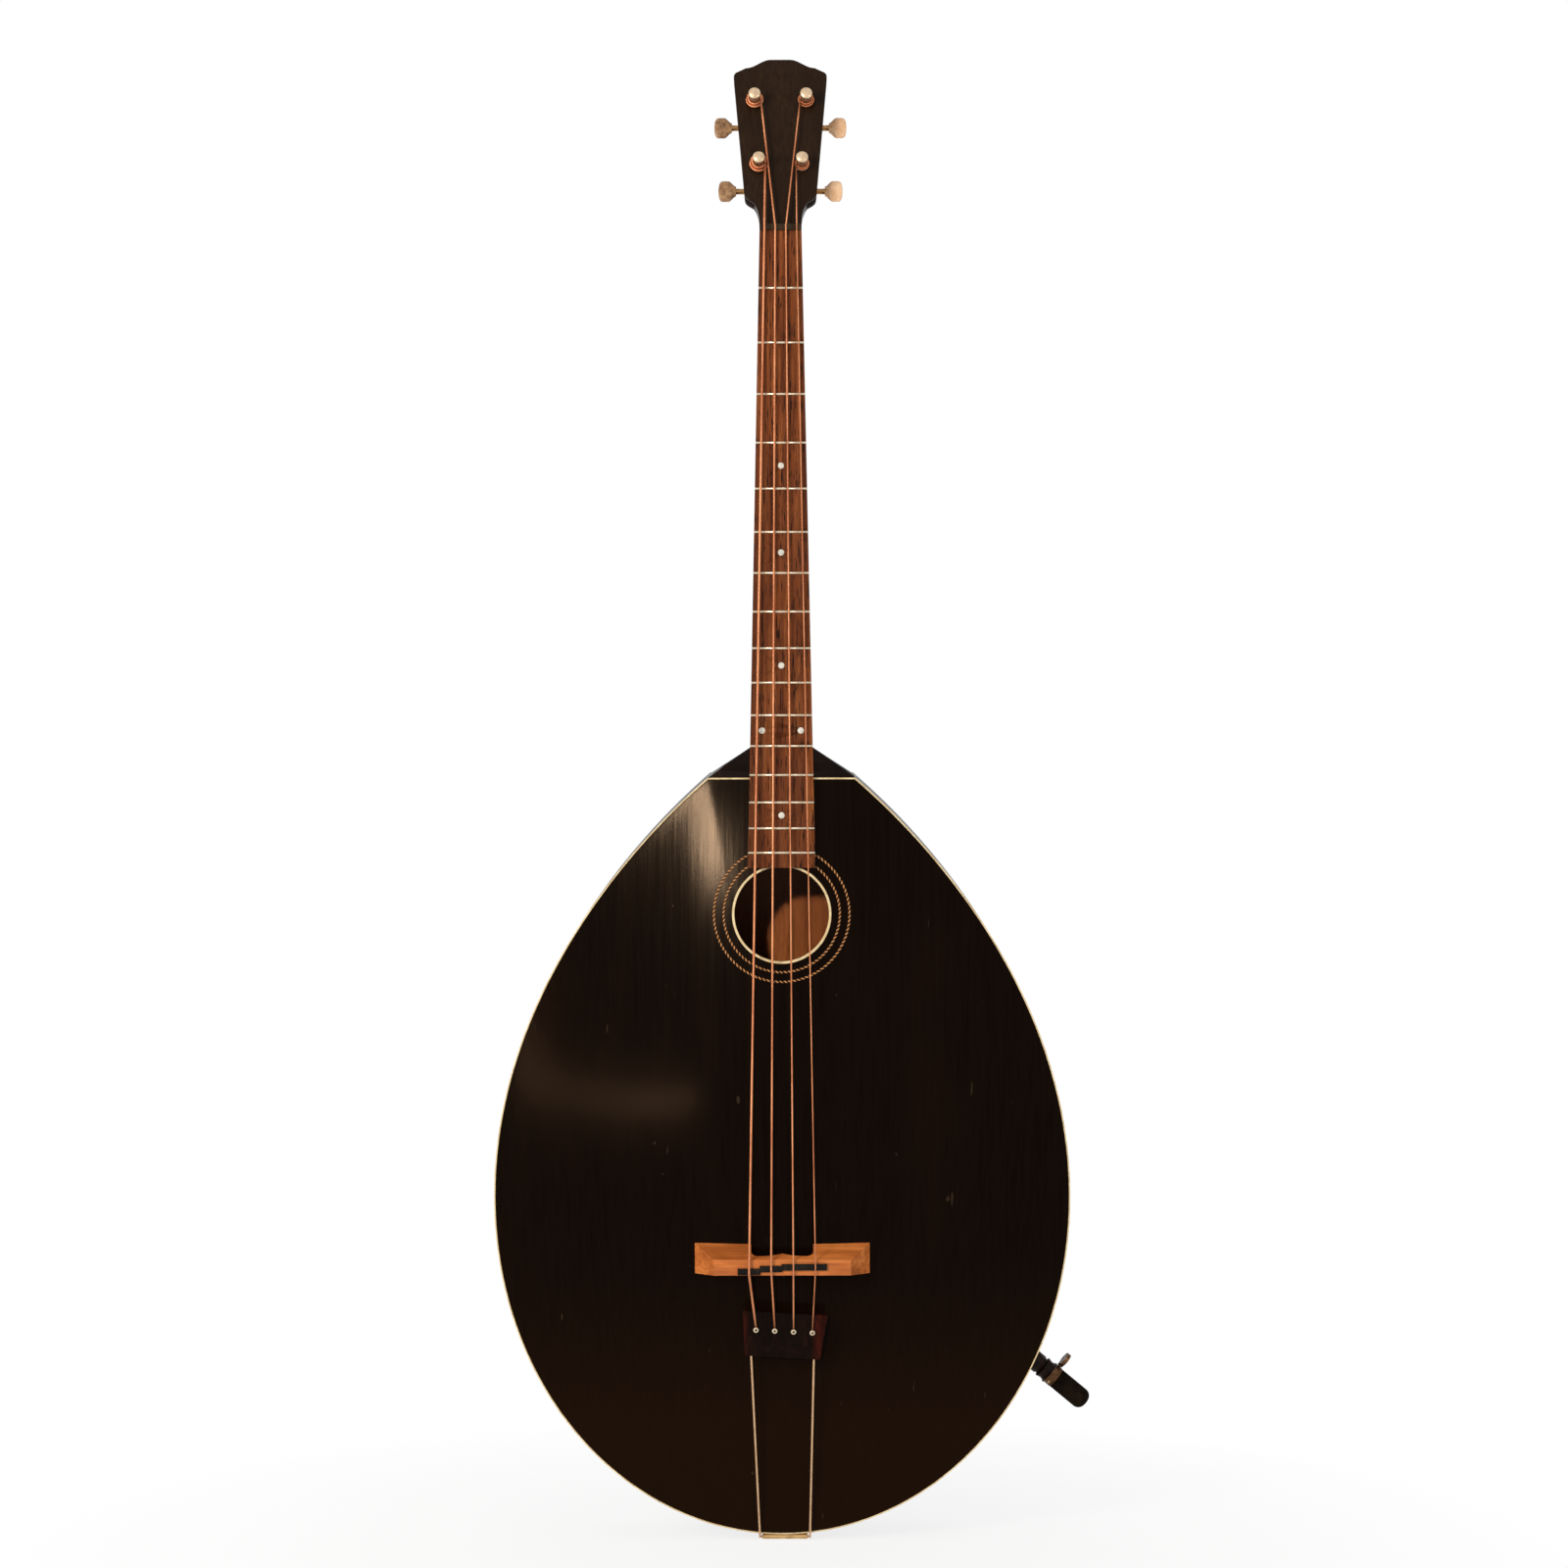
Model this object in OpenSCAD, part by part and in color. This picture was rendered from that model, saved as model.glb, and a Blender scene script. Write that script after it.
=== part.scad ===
/* [Scale and neck] */
// Vibrating length from the nut to the uncorrected saddle line
scale_len = 1066.8; // [1020:1:1100]
// Number of frets
fret_count = 16; // [14:1:16]
// Width of the fingerboard at the nut
nut_w = 43.5; // [40:0.5:48]
// Width of the fingerboard at its body end
board_end_w = 69.5; // [64:0.5:76]
// Length by which the fingerboard reaches over the soundhole's ring
board_over_ring = 3.6; // [2:0.1:6]
// Thickness of the fingerboard
board_t = 6; // [5:0.5:7]
// Height of a fret above the fingerboard
fret_h = 1.2; // [0.9:0.1:1.5]
// Width of a fret crown
fret_w = 2.6; // [2:0.1:3]
// Diameter of a position dot
dot_d = 6.5; // [5:0.5:8]
// Depth of the neck behind the glue line at the nut
neck_depth_nut = 20; // [18:0.5:22]
// Depth of the neck where the heel begins
neck_depth_heel = 24; // [22:0.5:27]
// Length of the heel's curve
heel_len = 111; // [100:1:126]
// Length of the neck's widening into the shoulders
flare_len = 31; // [24:1:38]
// Thickness of the cap on the end of the heel
heel_cap_t = 3; // [2:0.5:4]

/* [Nut and peghead] */
// Length of the nut along the strings
nut_len = 6.2; // [5:0.1:7]
// Height of the nut above the glue line
nut_h = 9.6; // [9.2:0.1:10.5]
// Backward lean of the peghead
peghead_lean = 15; // [12:0.5:17]
// Thickness of the peghead wood
peghead_t = 14; // [13:0.5:16]
// Thickness of the dark front veneer
veneer_t = 2; // [1.5:0.1:2.5]
// Width of the peghead across its upper corners
peghead_top_w = 97.6; // [95:0.2:100]
// Width of the peghead across its lower corners
peghead_low_w = 74.8; // [73:0.2:78]
// Distance from the nut to the top of the upper corners
peghead_top_at = 175; // [172:1:178]
// Distance from the nut to the lower corners
peghead_low_at = 36; // [34:1:38]
// Rise of the crown above the upper corners
crown_rise = 13.8; // [10:0.2:16]

/* [Body] */
// Place of the soundboard's edge, as a share of the vibrating length
body_share = 0.5306; // [0.527:0.0001:0.534]
// Backward pitch of the body from the neck
neck_pitch = 4; // [3.8:0.1:4.4]
// Length of the body
body_len = 791.5; // [770:0.5:820]
// Width of the body at its widest
body_w = 599; // [570:1:620]
// Distance from the body's upper edge to its widest line
wide_at = 437; // [425:1:450]
// Width of the body's upper edge, where the neck meets it
shoulder_w = 152; // [146:1:158]
// Depth of the body at the rim, over both plates
body_depth = 115; // [100:1:125]
// Thickness of the carved plates
plate_t = 6; // [5:0.5:7]
// Rise of the arch of both plates
arch_rise = 20; // [18:0.5:22]
// Thickness of the ribs
rib_t = 3; // [2.5:0.5:4]
// Width of the binding strip
binding_w = 1.6; // [1.2:0.1:3]
// Width of the linings
lining_w = 7; // [5:0.5:9]
// Height of the linings
lining_h = 14; // [10:1:18]
// Length of the neck block
neck_block_len = 60; // [55:1:70]
// Depth of the tail block
tail_block_len = 34; // [28:1:40]
// Radius of the opening inside the soundhole ring
hole_r = 48.8; // [46:0.1:50]
// Width of the ring that lines the soundhole
ring_w = 2.5; // [2:0.1:3]
// Distance from the body's upper edge to the soundhole's centre
hole_at = 141; // [140:0.5:144]
// Middle radius of the inner rope inlay
rope_in_r = 60; // [58:0.5:62]
// Middle radius of the outer rope inlay
rope_out_r = 70; // [68:0.5:73]
// Width of the rope inlays
rope_w = 2.6; // [2:0.1:3]

/* [Strings and tuners] */
// Spacing of the strings at the nut
nut_spacing = 11.1; // [10:0.1:11.5]
// Spacing of the strings at the bridge
bridge_spacing = 22.7; // [21:0.1:23.5]
// Height of the strings above the twelfth fret
action = 3.2; // [2.5:0.1:4.5]
// Distance from the nut to the lower pair of posts
post_low_at = 68; // [67:0.5:70]
// Distance from the nut to the upper pair of posts
post_high_at = 141; // [139:0.5:142]
// Half the distance between the lower posts
post_low_x = 22.4; // [22:0.1:23]
// Half the distance between the upper posts
post_high_x = 26.9; // [26:0.1:28]
// Height of a post above the veneer
post_h = 19; // [17:0.5:21]
// Radius of a post where the string winds
post_r = 5.25; // [5:0.05:5.5]
// Radius of a post in its bushing
journal_r = 4; // [3.6:0.1:4.2]
// Radius of the worm shafts
shaft_r = 3; // [2.6:0.1:3]
// Teeth on a tuner gear
gear_teeth = 20; // [19:1:21]
// Size of a gear tooth, as pitch diameter per tooth
tooth_module = 1.4; // [1.35:0.01:1.42]
// Pitch diameter of the worms
worm_d = 9.4; // [9.2:0.1:10]
// Distance from a post to the inner end of its button
button_at = 24; // [22:0.5:26]
// Length of a button
button_len = 18.5; // [16:0.5:20]
// Height of a button
button_w = 23; // [19:0.5:24]
// Thickness of a button
button_t = 6.6; // [6.4:0.1:8]

/* [Bridge and tailpiece] */
// Length of the bridge's foot
bridge_len = 181; // [170:1:190]
// Length of the bridge's flat top
bridge_top_len = 141; // [130:1:150]
// Width of the bridge's foot
bridge_w = 31.5; // [30:0.5:36]
// Width of the bridge's flat top
bridge_top_w = 16; // [15:0.5:17]
// Width of the arched opening between the feet
bridge_gap_w = 64; // [56:1:70]
// Height of the arched opening
bridge_gap_h = 19; // [15:0.5:20]
// Height of the saddle pieces above the bridge's top
saddle_h = 2.5; // [2:0.1:3]
// Width of the tailpiece plate at its upper edge
tail_w = 88; // [82:1:94]
// Width of the tailpiece plate at its lower edge
tail_low_w = 78; // [72:1:82]
// Length of the tailpiece plate
tail_len = 48.5; // [44:0.5:54]
// Thickness of the tailpiece plate
tail_t = 4; // [3:0.5:5]
// Length of string from the saddles to the plate's upper edge
after_len = 51; // [48:1:60]
// Spacing of the string pins
pin_spacing = 19.4; // [18:0.1:20]
// Diameter of the tailpiece wire
wire_d = 2.4; // [2:0.1:3]
// Width of the tail hinge
hinge_w = 47; // [42:1:50]
// Sideways place of the tail hinge
hinge_x = 2.3; // [-3:0.1:3]

/* [Leg] */
// Distance from the body's upper edge to the leg's axis at the rim
leg_at = 615; // [610:0.5:620]
// Slope of the leg below the horizontal
leg_drop = 40; // [36:1:44]
// Radius of the leg rod
rod_r = 4.76; // [4.2:0.02:5]
// Length of the rod inside the body when it is pushed in
rod_inside_len = 360; // [340:5:370]
// Length of the turned wooden socket outside the ribs
socket_len = 29; // [24:0.5:32]
// Radius of the metal collar
collar_r = 11.3; // [10.8:0.1:12.5]
// Length of the metal collar
collar_len = 8.8; // [8:0.1:10]
// Radius of the rubber tip
tip_r = 11; // [10:0.1:12]
// Length of the rubber tip
tip_len = 42; // [34:0.5:46]
// Reach of the thumbscrew's wing from the collar
wing_len = 15.5; // [12:0.5:18]

/* [Hidden] */
$fn = 48;

// Small amount by which a cutter passes a face
eps = 0.5;
// Distances from the nut to the soundboard's edge, to the heel's curve and to the widening of the neck
body_at = scale_len * body_share;
heel_start = body_at - heel_len;
flare_start = body_at - flare_len;
// Radial clearance of turning parts
fit = 0.05;
// Gap kept between parts that only lie close together
gap = 0.3;

// ---- Vectors, curves and frames ----
function unit(v) = v / norm(v);
function bezier(p, t) =
    pow(1 - t, 3) * p[0] + 3 * pow(1 - t, 2) * t * p[1] + 3 * (1 - t) * t * t * p[2] + pow(t, 3) * p[3];
function bezier_slope(p, t) =
    3 * pow(1 - t, 2) * (p[1] - p[0]) + 6 * (1 - t) * t * (p[2] - p[1]) + 3 * t * t * (p[3] - p[2]);
function reversed(list) = [for (i = [len(list) - 1:-1:0]) list[i]];
function smooth(t) = let (c = min(1, max(0, t))) c * c * (3 - 2 * c);

// The body's frame starts at the soundboard's upper edge and leans back by neck_pitch
function to_body(p) = let (z = p[2] + body_at) [p[0], p[1] * cos(neck_pitch) + z * sin(neck_pitch),
    -p[1] * sin(neck_pitch) + z * cos(neck_pitch)];
function from_body(p) = [p[0], p[1] * cos(neck_pitch) - p[2] * sin(neck_pitch),
    p[1] * sin(neck_pitch) + p[2] * cos(neck_pitch) - body_at];
module in_body() { translate([0, 0, -body_at]) rotate([neck_pitch, 0, 0]) children(); }
// The peghead's frame starts behind the nut and leans back by peghead_lean
function from_peghead(p) = [p[0], p[1] * cos(peghead_lean) + p[2] * sin(peghead_lean),
    -p[1] * sin(peghead_lean) + p[2] * cos(peghead_lean) + nut_len];
module in_peghead() { translate([0, 0, nut_len]) rotate([-peghead_lean, 0, 0]) children(); }
// A flat shape drawn as x and z, made solid from depth y0 to depth y1
module slab(y0, y1) { translate([0, y1, 0]) rotate([90, 0, 0]) linear_extrude(y1 - y0) children(); }

// A round bar of radius r swept along points, with the given number of sides
function directions(points) = [for (i = [0:len(points) - 1])
    unit(points[min(i + 1, len(points) - 1)] - points[max(i - 1, 0)])];
function carried(dirs, n, i = 0, out = []) = i == len(dirs) ? out :
    let (m = unit(n - dirs[i] * (dirs[i] * n))) carried(dirs, m, i + 1, concat(out, [m]));
module bar(points, r, sides = 8) {
    dirs = directions(points);
    sideways = carried(dirs, [0.3, 0.9, 0.2]);
    last = len(points) - 1;
    rings = [for (i = [0:last]) for (k = [0:sides - 1]) let (a = 360 * (k + 0.5) / sides)
        points[i] + r * (cos(a) * sideways[i] + sin(a) * cross(dirs[i], sideways[i]))];
    walls = [for (i = [0:last - 1]) for (k = [0:sides - 1]) let (n = (k + 1) % sides)
        [i * sides + k, (i + 1) * sides + k, (i + 1) * sides + n, i * sides + n]];
    start = [for (k = [0:sides - 1]) k];
    end = [for (k = [sides - 1:-1:0]) last * sides + k];
    polyhedron(rings, concat([start], walls, [end]), convexity = 6);
}

// ---- Body outline: two curves a side, from the shoulder to the widest line to the tail ----
body_half = body_w / 2;
shoulder_half = shoulder_w / 2;
// Pulls of the outline's curves, as shares of the body's sizes
flare_pull = [0.17 * body_w, 0.2014 * wide_at];
shoulder_pull = 0.437 * wide_at;
tail_pull = 0.581 * (body_len - wide_at);
bottom_pull = 0.2671 * body_w;
upper_curve = [[shoulder_half, 0], [shoulder_half + flare_pull[0], -flare_pull[1]],
    [body_half, -wide_at + shoulder_pull], [body_half, -wide_at]];
lower_curve = [[body_half, -wide_at], [body_half, -wide_at - tail_pull],
    [bottom_pull, -body_len], [0, -body_len]];
rim_steps = 20;
function rim_point(t) = t < 1 ? bezier(upper_curve, t) : bezier(lower_curve, t - 1);
function rim_slope(t) = unit(t < 1 ? bezier_slope(upper_curve, t) : bezier_slope(lower_curve, t - 1));
function rim(t, inset) = let (s = rim_slope(t)) rim_point(t) + inset * [s[1], -s[0]];
// Corner where the outline, set in by inset, meets a straight line at distance cut below the upper edge
function corner(inset, cut) = let (s = rim_slope(0), p = rim(0, inset))
    [p[0] - s[0] / s[1] * (cut + p[1]), -cut];
function half_rim(inset, cut) =
    concat([corner(inset, cut)], [for (i = [1:2 * rim_steps]) rim(i / rim_steps, inset)]);
function mirrored(list) = [for (p = reversed(list)) [-p[0], p[1]]];
function u_rim(inset, cut) = let (h = half_rim(inset, cut), m = mirrored(h))
    concat(h, [for (i = [1:len(m) - 1]) m[i]]);

// ---- Carved plates ----
// The arch's highest point lies this far below the soundhole
arch_below_hole = 289;
arch_centre = [0, -hole_at - arch_below_hole];
arch_rings = [1, 0.97, 0.92, 0.84, 0.74, 0.61, 0.46, 0.3, 0.14];
// Edge of the arch is hollow, but stays full towards the neck so that the fingerboard lies on it
edge_power = 1.7;
neck_power = 0.6;
function arch(r, d) = arch_rise * pow(1 - r * r, edge_power - neck_power * pow((1 + d[1] / norm(d)) / 2, 6));
function plate_edge(inset, cut) = let (u = u_rim(inset, cut), c = u[0], n = 6)
    concat(u, [for (i = [1:n - 1]) [-c[0] + 2 * c[0] * i / n, c[1]]]);
// A plate of thickness t with its rim's outer face at depth 0 and its arch towards the front
module plate(inset, cut, t) {
    edge = plate_edge(inset, cut);
    n = len(edge);
    rings = len(arch_rings);
    face = [for (r = arch_rings) for (p = edge) let (d = p - arch_centre, q = arch_centre + r * d)
        [q[0], -arch(r, d), q[1]]];
    top_point = [[arch_centre[0], -arch_rise, arch_centre[1]]];
    points = concat(face, top_point, [for (p = concat(face, top_point)) [p[0], p[1] + t, p[2]]]);
    back = n * rings + 1;
    outer = [for (j = [0:rings - 2]) for (i = [0:n - 1]) let (k = (i + 1) % n, a = j * n + i, b = j * n + k)
        each [[a, b, b + n], [a, b + n, a + n]]];
    outer_tip = [for (i = [0:n - 1]) [(rings - 1) * n + i, (rings - 1) * n + (i + 1) % n, n * rings]];
    front_faces = concat(outer, outer_tip);
    back_faces = [for (f = front_faces) [f[2] + back, f[1] + back, f[0] + back]];
    side = [for (i = [0:n - 1]) let (k = (i + 1) % n) each [[k, i, i + back], [k, i + back, k + back]]];
    polyhedron(points, concat(front_faces, back_faces, side), convexity = 8);
}
// All that lies up to 60 mm in front of the soundboard's inner face, and behind its outer face
module before_inner_face() { translate([0, plate_t - 60, 0]) plate(binding_w, binding_w, 60); }
module behind_outer_face() { plate(binding_w, binding_w, 60); }

ring_r = hole_r + ring_w;
hole_centre = from_body([0, 0, -hole_at]);
module across_hole(y0, y1) { translate([0, 0, hole_centre[2]]) slab(y0, y1) children(); }
module ring_shape(r0, r1) { difference() { circle(r1, $fn = 96); circle(r0, $fn = 96); } }
board_half = nut_w / 2;
board_len = -hole_centre[2] - ring_r + board_over_ring;
function board_half_at(z) = board_half + (board_end_w - nut_w) / 2 * -z / board_len;
module board_shape(grow) {
    polygon([[-board_half - grow, eps], [board_half + grow, eps],
        [board_end_w / 2 + grow, -board_len - grow], [-board_end_w / 2 - grow, -board_len - grow]]);
}
// Depth of the rope inlays
rope_t = 1.6;
module rope_bands() {
    for (r = [rope_in_r, rope_out_r]) difference() {
        across_hole(-4, rope_t) ring_shape(r - rope_w / 2, r + rope_w / 2);
        slab(-5, 3) board_shape(1.2);
    }
}
module soundboard() color([0.05, 0.045, 0.04]) difference() {
    in_body() plate(binding_w, binding_w, plate_t);
    across_hole(-10, 20) circle(ring_r, $fn = 96);
    rope_bands();
    slab(-10, 0) board_shape(gap);
}
module rosette_ropes() color([0.75, 0.6, 0.4]) intersection() {
    in_body() plate(binding_w, binding_w, plate_t);
    rope_bands();
}
module soundhole_ring() color([0.93, 0.85, 0.66]) difference() {
    across_hole(-0.9, plate_t + 1) ring_shape(hole_r, ring_r);
    slab(-10, 0) board_shape(gap);
}
module back_plate() color([0.12, 0.05, 0.035])
    in_body() translate([0, body_depth, 0]) mirror([0, 1, 0]) plate(0, 0, plate_t);
module binding() color([0.93, 0.85, 0.66])
    in_body() slab(0, plate_t) polygon(concat(u_rim(0, 0), reversed(u_rim(binding_w, 0))));
module neck_joint_strip() color([0.93, 0.85, 0.66])
    in_body() slab(0, plate_t)
        polygon([corner(binding_w, 0), corner(binding_w, binding_w),
            [-corner(binding_w, binding_w)[0], -binding_w], [-corner(binding_w, 0)[0], 0]]);

// ---- Ribs, blocks, linings and brace ----
rib_y0 = plate_t;
rib_y1 = body_depth - plate_t;
spigot_r = 8;
module ribs() color([0.09, 0.05, 0.04]) difference() {
    in_body() slab(rib_y0, rib_y1) polygon(concat(u_rim(0, 0), reversed(u_rim(rib_t, 0))));
    on_leg() translate([0, 0, -30]) cylinder(h = 60, r = spigot_r + fit);
}
module inner_shape(inset) { polygon(u_rim(inset, 0)); }
tenon_w = 34;
tail_block_w = 150;
tenon_len = 30;
tenon_deep = body_depth - 22;
module tenon_shape(grow) {
    polygon([[-tenon_w / 2 - grow, 2], [tenon_w / 2 + grow, 2],
        [tenon_w / 2 + 6 + grow, -tenon_len - grow], [-tenon_w / 2 - 6 - grow, -tenon_len - grow]]);
}
module neck_block() color([0.55, 0.4, 0.25]) in_body() difference() {
    slab(rib_y0, rib_y1) intersection() {
        inner_shape(rib_t);
        translate([-body_half, -neck_block_len]) square([body_w, neck_block_len]);
    }
    slab(rib_y0 - eps, tenon_deep + fit) tenon_shape(fit);
}
module tail_block() color([0.55, 0.4, 0.25]) in_body()
    slab(rib_y0, rib_y1) intersection() {
        inner_shape(rib_t);
        translate([-tail_block_w / 2, -body_len]) square([tail_block_w, tail_block_len + rib_t]);
    }
module linings() color([0.6, 0.45, 0.3]) in_body() for (y = [rib_y0, rib_y1 - lining_h])
    slab(y, y + lining_h) difference() {
        inner_shape(rib_t);
        inner_shape(rib_t + lining_w);
        translate([-body_half, -neck_block_len - gap]) square([body_w, 2 * neck_block_len]);
        translate([-tail_block_w / 2 - gap, -body_len - 1])
            square([tail_block_w + 2 * gap, tail_block_len + rib_t + 1 + gap]);
    }
brace_w = 12;
// Clear strip between the soundhole ring and the brace
brace_clear = 13.5;
brace_at = hole_at + ring_r + brace_clear + brace_w / 2;
brace_half = rim_at(brace_at - brace_w / 2, 0, 1) - 1.15 * (rib_t + lining_w) - 1;
brace_end_h = 3;
brace_h = 10;
brace_slope = 60;
module top_brace() color([0.75, 0.6, 0.4]) in_body() difference() {
    translate([0, 0, -brace_at - brace_w / 2]) linear_extrude(brace_w)
        polygon([[-brace_half, -arch_rise], [brace_half, -arch_rise], [brace_half, plate_t + brace_end_h],
            [brace_half - brace_slope, plate_t + brace_h], [brace_slope - brace_half, plate_t + brace_h],
            [-brace_half, plate_t + brace_end_h]]);
    before_inner_face();
}

// ---- Neck, veneer, heel cap, fingerboard, frets, dots and nut ----
heel_depth = body_depth - heel_cap_t;
// Share of the heel's length after which it has its full depth
heel_full = 0.9;
function heel_part(z) = max(0, (-z - heel_start) / heel_len);
function neck_half(z) = board_half_at(min(z, 0))
    + (shoulder_half - board_half_at(-body_at)) * max(0, (-z - flare_start) / (body_at - flare_start));
function shaft_depth(z) = z > 0 ? neck_depth_nut - (neck_depth_nut - peghead_t + 3) * smooth(z / 40)
    : neck_depth_nut + (neck_depth_heel - neck_depth_nut) * -z / heel_start;
function neck_depth(z) = let (h = heel_part(z)) shaft_depth(max(z, -heel_start))
    + (body_depth * cos(neck_pitch) - neck_depth_heel) * pow(min(1, h / heel_full), 2.2);
function neck_square(z) = 2.2 + 12 * pow(heel_part(z), 4);
function neck_face(z) = z > nut_len ? (z - nut_len) * tan(peghead_lean) + 1 : 0;
neck_stations = concat([40, 32, 24, 16, 10, nut_len, 0, -60, -160, -260, -360, -heel_start],
    [for (i = [1:10]) -heel_start - (flare_start - heel_start) * i / 10],
    [for (i = [1:4]) -flare_start - (body_at - flare_start) * i / 4]);
neck_sides = 20;
function neck_ring(z) = let (w = neck_half(z), d = neck_depth(z), e = 2 / neck_square(z))
    [for (k = [0:neck_sides]) let (a = 180 * (1 - k / neck_sides), y = neck_face(z) + d * pow(sin(a), e))
        [w * sign(cos(a)) * pow(abs(cos(a)), e), y, z + y * tan(neck_pitch) * heel_part(z)]];
module neck_shaft() {
    m = neck_sides + 1;
    last = len(neck_stations) - 1;
    points = [for (z = neck_stations) each neck_ring(z)];
    walls = [for (j = [0:last - 1]) for (k = [0:m - 1]) let (n = (k + 1) % m, a = j * m + k, b = j * m + n)
        each [[a, a + m, b + m], [a, b + m, b]]];
    ends = [[for (k = [0:m - 1]) k], [for (k = [m - 1:-1:0]) last * m + k]];
    polyhedron(points, concat([ends[0]], walls, [ends[1]]), convexity = 6);
}
// Outline of the peghead: hollow shoulders, tapering sides, rounded corners and a low smooth crown
crown_half = 36;
crown_flat = 10;
corner_r = 6;
crown_step = 0.3;
function crown_turn(x) = 180 * min(1, max(0, (abs(x) - crown_flat) / (crown_half - crown_flat)));
function crown_z(x) = peghead_top_at
    + crown_rise * (crown_step + (1 - crown_step) * (1 + cos(crown_turn(x))) / 2);
// Lower corners: how far they stand out from the hollow shoulders, and their height
ear_x = 9.5;
ear_z = 11.5;
module peghead_shape() {
    top = peghead_top_w / 2;
    low = peghead_low_w / 2;
    side = atan2(top - low, peghead_top_at - peghead_low_at);
    shoulder = [for (i = [0:6]) let (a = 10 * i) [board_half + (low - ear_x - board_half) * 2 * (1 - cos(a)),
        1 + (peghead_low_at - ear_z - 1) * sin(a) / sin(60)]];
    ear = [[low - 0.45 * ear_x, peghead_low_at - 0.72 * ear_z], [low - 0.16 * ear_x, peghead_low_at - 0.5 * ear_z],
        [low - 0.04 * ear_x, peghead_low_at - 0.28 * ear_z], [low, peghead_low_at]];
    rounded = [for (i = [0:5]) let (a = -side + (70 + side) * i / 5)
        [top - corner_r + corner_r * cos(a), peghead_top_at - corner_r + corner_r * sin(a)]];
    crown = [for (i = [0:16]) let (x = crown_half * (1 - i / 16)) [x, crown_z(x)]];
    half = concat([[board_half - 0.4, 0]], shoulder, ear, rounded, crown);
    m = mirrored(half);
    polygon(concat(half, [for (i = [1:len(m) - 1]) m[i]]));
}
tuners = [[-1, post_low_x, post_low_at], [-1, post_high_x, post_high_at],
    [1, post_high_x, post_high_at], [1, post_low_x, post_low_at]];
bushing_r = journal_r + 1.6;
module at_tuner(i) {
    in_peghead() translate([tuners[i][0] * tuners[i][1], 0, tuners[i][2]])
        mirror([tuners[i][0] < 0 ? 1 : 0, 0, 0]) children();
}
// Turns a shape made along z so that it runs backwards through the peghead
module backwards() { rotate([-90, 0, 0]) children(); }
module neck() color([0.08, 0.045, 0.035]) difference() {
    union() {
        difference() {
            neck_shaft();
            heel_end();
        }
        in_peghead() slab(0, peghead_t) peghead_shape();
        in_body() slab(plate_t, tenon_deep) tenon_shape(0);
    }
    for (i = [0:3]) at_tuner(i) {
        backwards() translate([0, 0, -eps]) cylinder(h = peghead_t + 2 * eps, r = bushing_r);
        for (p = plate_holes) translate([p[0], 0, p[1]]) backwards()
            translate([0, 0, peghead_t - screw_len]) cylinder(h = screw_len + eps, r = screw_r);
    }
}
// Gap between the nut and the lower edge of the veneer
veneer_gap = 0.8;
module peghead_veneer() color([0.14, 0.09, 0.06]) difference() {
    in_peghead() slab(-veneer_t, 0) intersection() {
        peghead_shape();
        translate([-peghead_top_w, veneer_gap]) square([2 * peghead_top_w, 2 * peghead_top_at]);
    }
    for (i = [0:3]) at_tuner(i) backwards() translate([0, 0, -veneer_t - eps])
        cylinder(h = veneer_t + 2 * eps, r = bushing_r);
}
module heel_end() {
    in_body() slab(heel_depth, body_depth + 5)
        translate([-shoulder_w, -1]) square([2 * shoulder_w, heel_len]);
}
module heel_cap() color([0.04, 0.035, 0.03]) intersection() {
    neck_shaft();
    heel_end();
}
function fret_z(n) = -scale_len * (1 - pow(2, -n / 12));
slot_w = 0.6;
slot_t = 2.2;
function between(n) = (fret_z(n) + fret_z(n - 1)) / 2;
dot_x = 20;
dots = [[0, between(5)], [0, between(7)], [0, between(10)],
    [-dot_x, between(12)], [dot_x, between(12)], [0, between(15)]];
dot_t = 1.5;
module fingerboard() color([0.4, 0.2, 0.13]) difference() {
    slab(-board_t, 0) intersection() {
        board_shape(0);
        translate([-board_end_w, -2 * board_len]) square([2 * board_end_w, 2 * board_len]);
    }
    for (n = [1:fret_count]) translate([-board_end_w, -board_t - eps, fret_z(n) - slot_w / 2])
        cube([2 * board_end_w, slot_t + eps, slot_w]);
    for (p = dots) translate([p[0], 0, p[1]]) backwards()
        translate([0, 0, -board_t - eps]) cylinder(h = dot_t + eps, r = dot_d / 2);
}
module position_dots() color([0.93, 0.92, 0.86])
    for (p = dots) translate([p[0], 0, p[1]]) backwards()
        translate([0, 0, -board_t]) cylinder(h = dot_t, r = dot_d / 2);
// A fret: a rounded crown on a thin tang
module frets() color([0.85, 0.8, 0.7]) for (n = [1:fret_count]) let (half = board_half_at(fret_z(n)))
    translate([-half, -board_t, fret_z(n)]) rotate([90, 0, 90]) linear_extrude(2 * half)
        polygon(concat([[slot_t - gap, -slot_w / 2], [0, -slot_w / 2]],
            [for (i = [0:6]) let (a = -90 + 30 * i) [-fret_h * cos(a), fret_w / 2 * sin(a)]],
            [[0, slot_w / 2], [slot_t - gap, slot_w / 2]]));
string_r = [1.3, 1.1, 0.9, 0.7];
nut_action = 0.6;
// Depth of the underside of the strings at the nut and at the saddle line
under_nut = -(board_t + fret_h + nut_action);
under_saddle = under_nut + 2 * (-(board_t + fret_h + action) - under_nut);
function nut_x(i) = (i - 1.5) * nut_spacing;
module nut() color([0.03, 0.03, 0.03]) difference() {
    translate([-board_half, -nut_h, 0]) cube([nut_w, nut_h, nut_len]);
    for (i = [0:3]) translate([nut_x(i) - string_r[i] - gap, -nut_h - eps, -eps])
        cube([2 * string_r[i] + 2 * gap, nut_h + eps + under_nut, nut_len + 2 * eps]);
}

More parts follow.
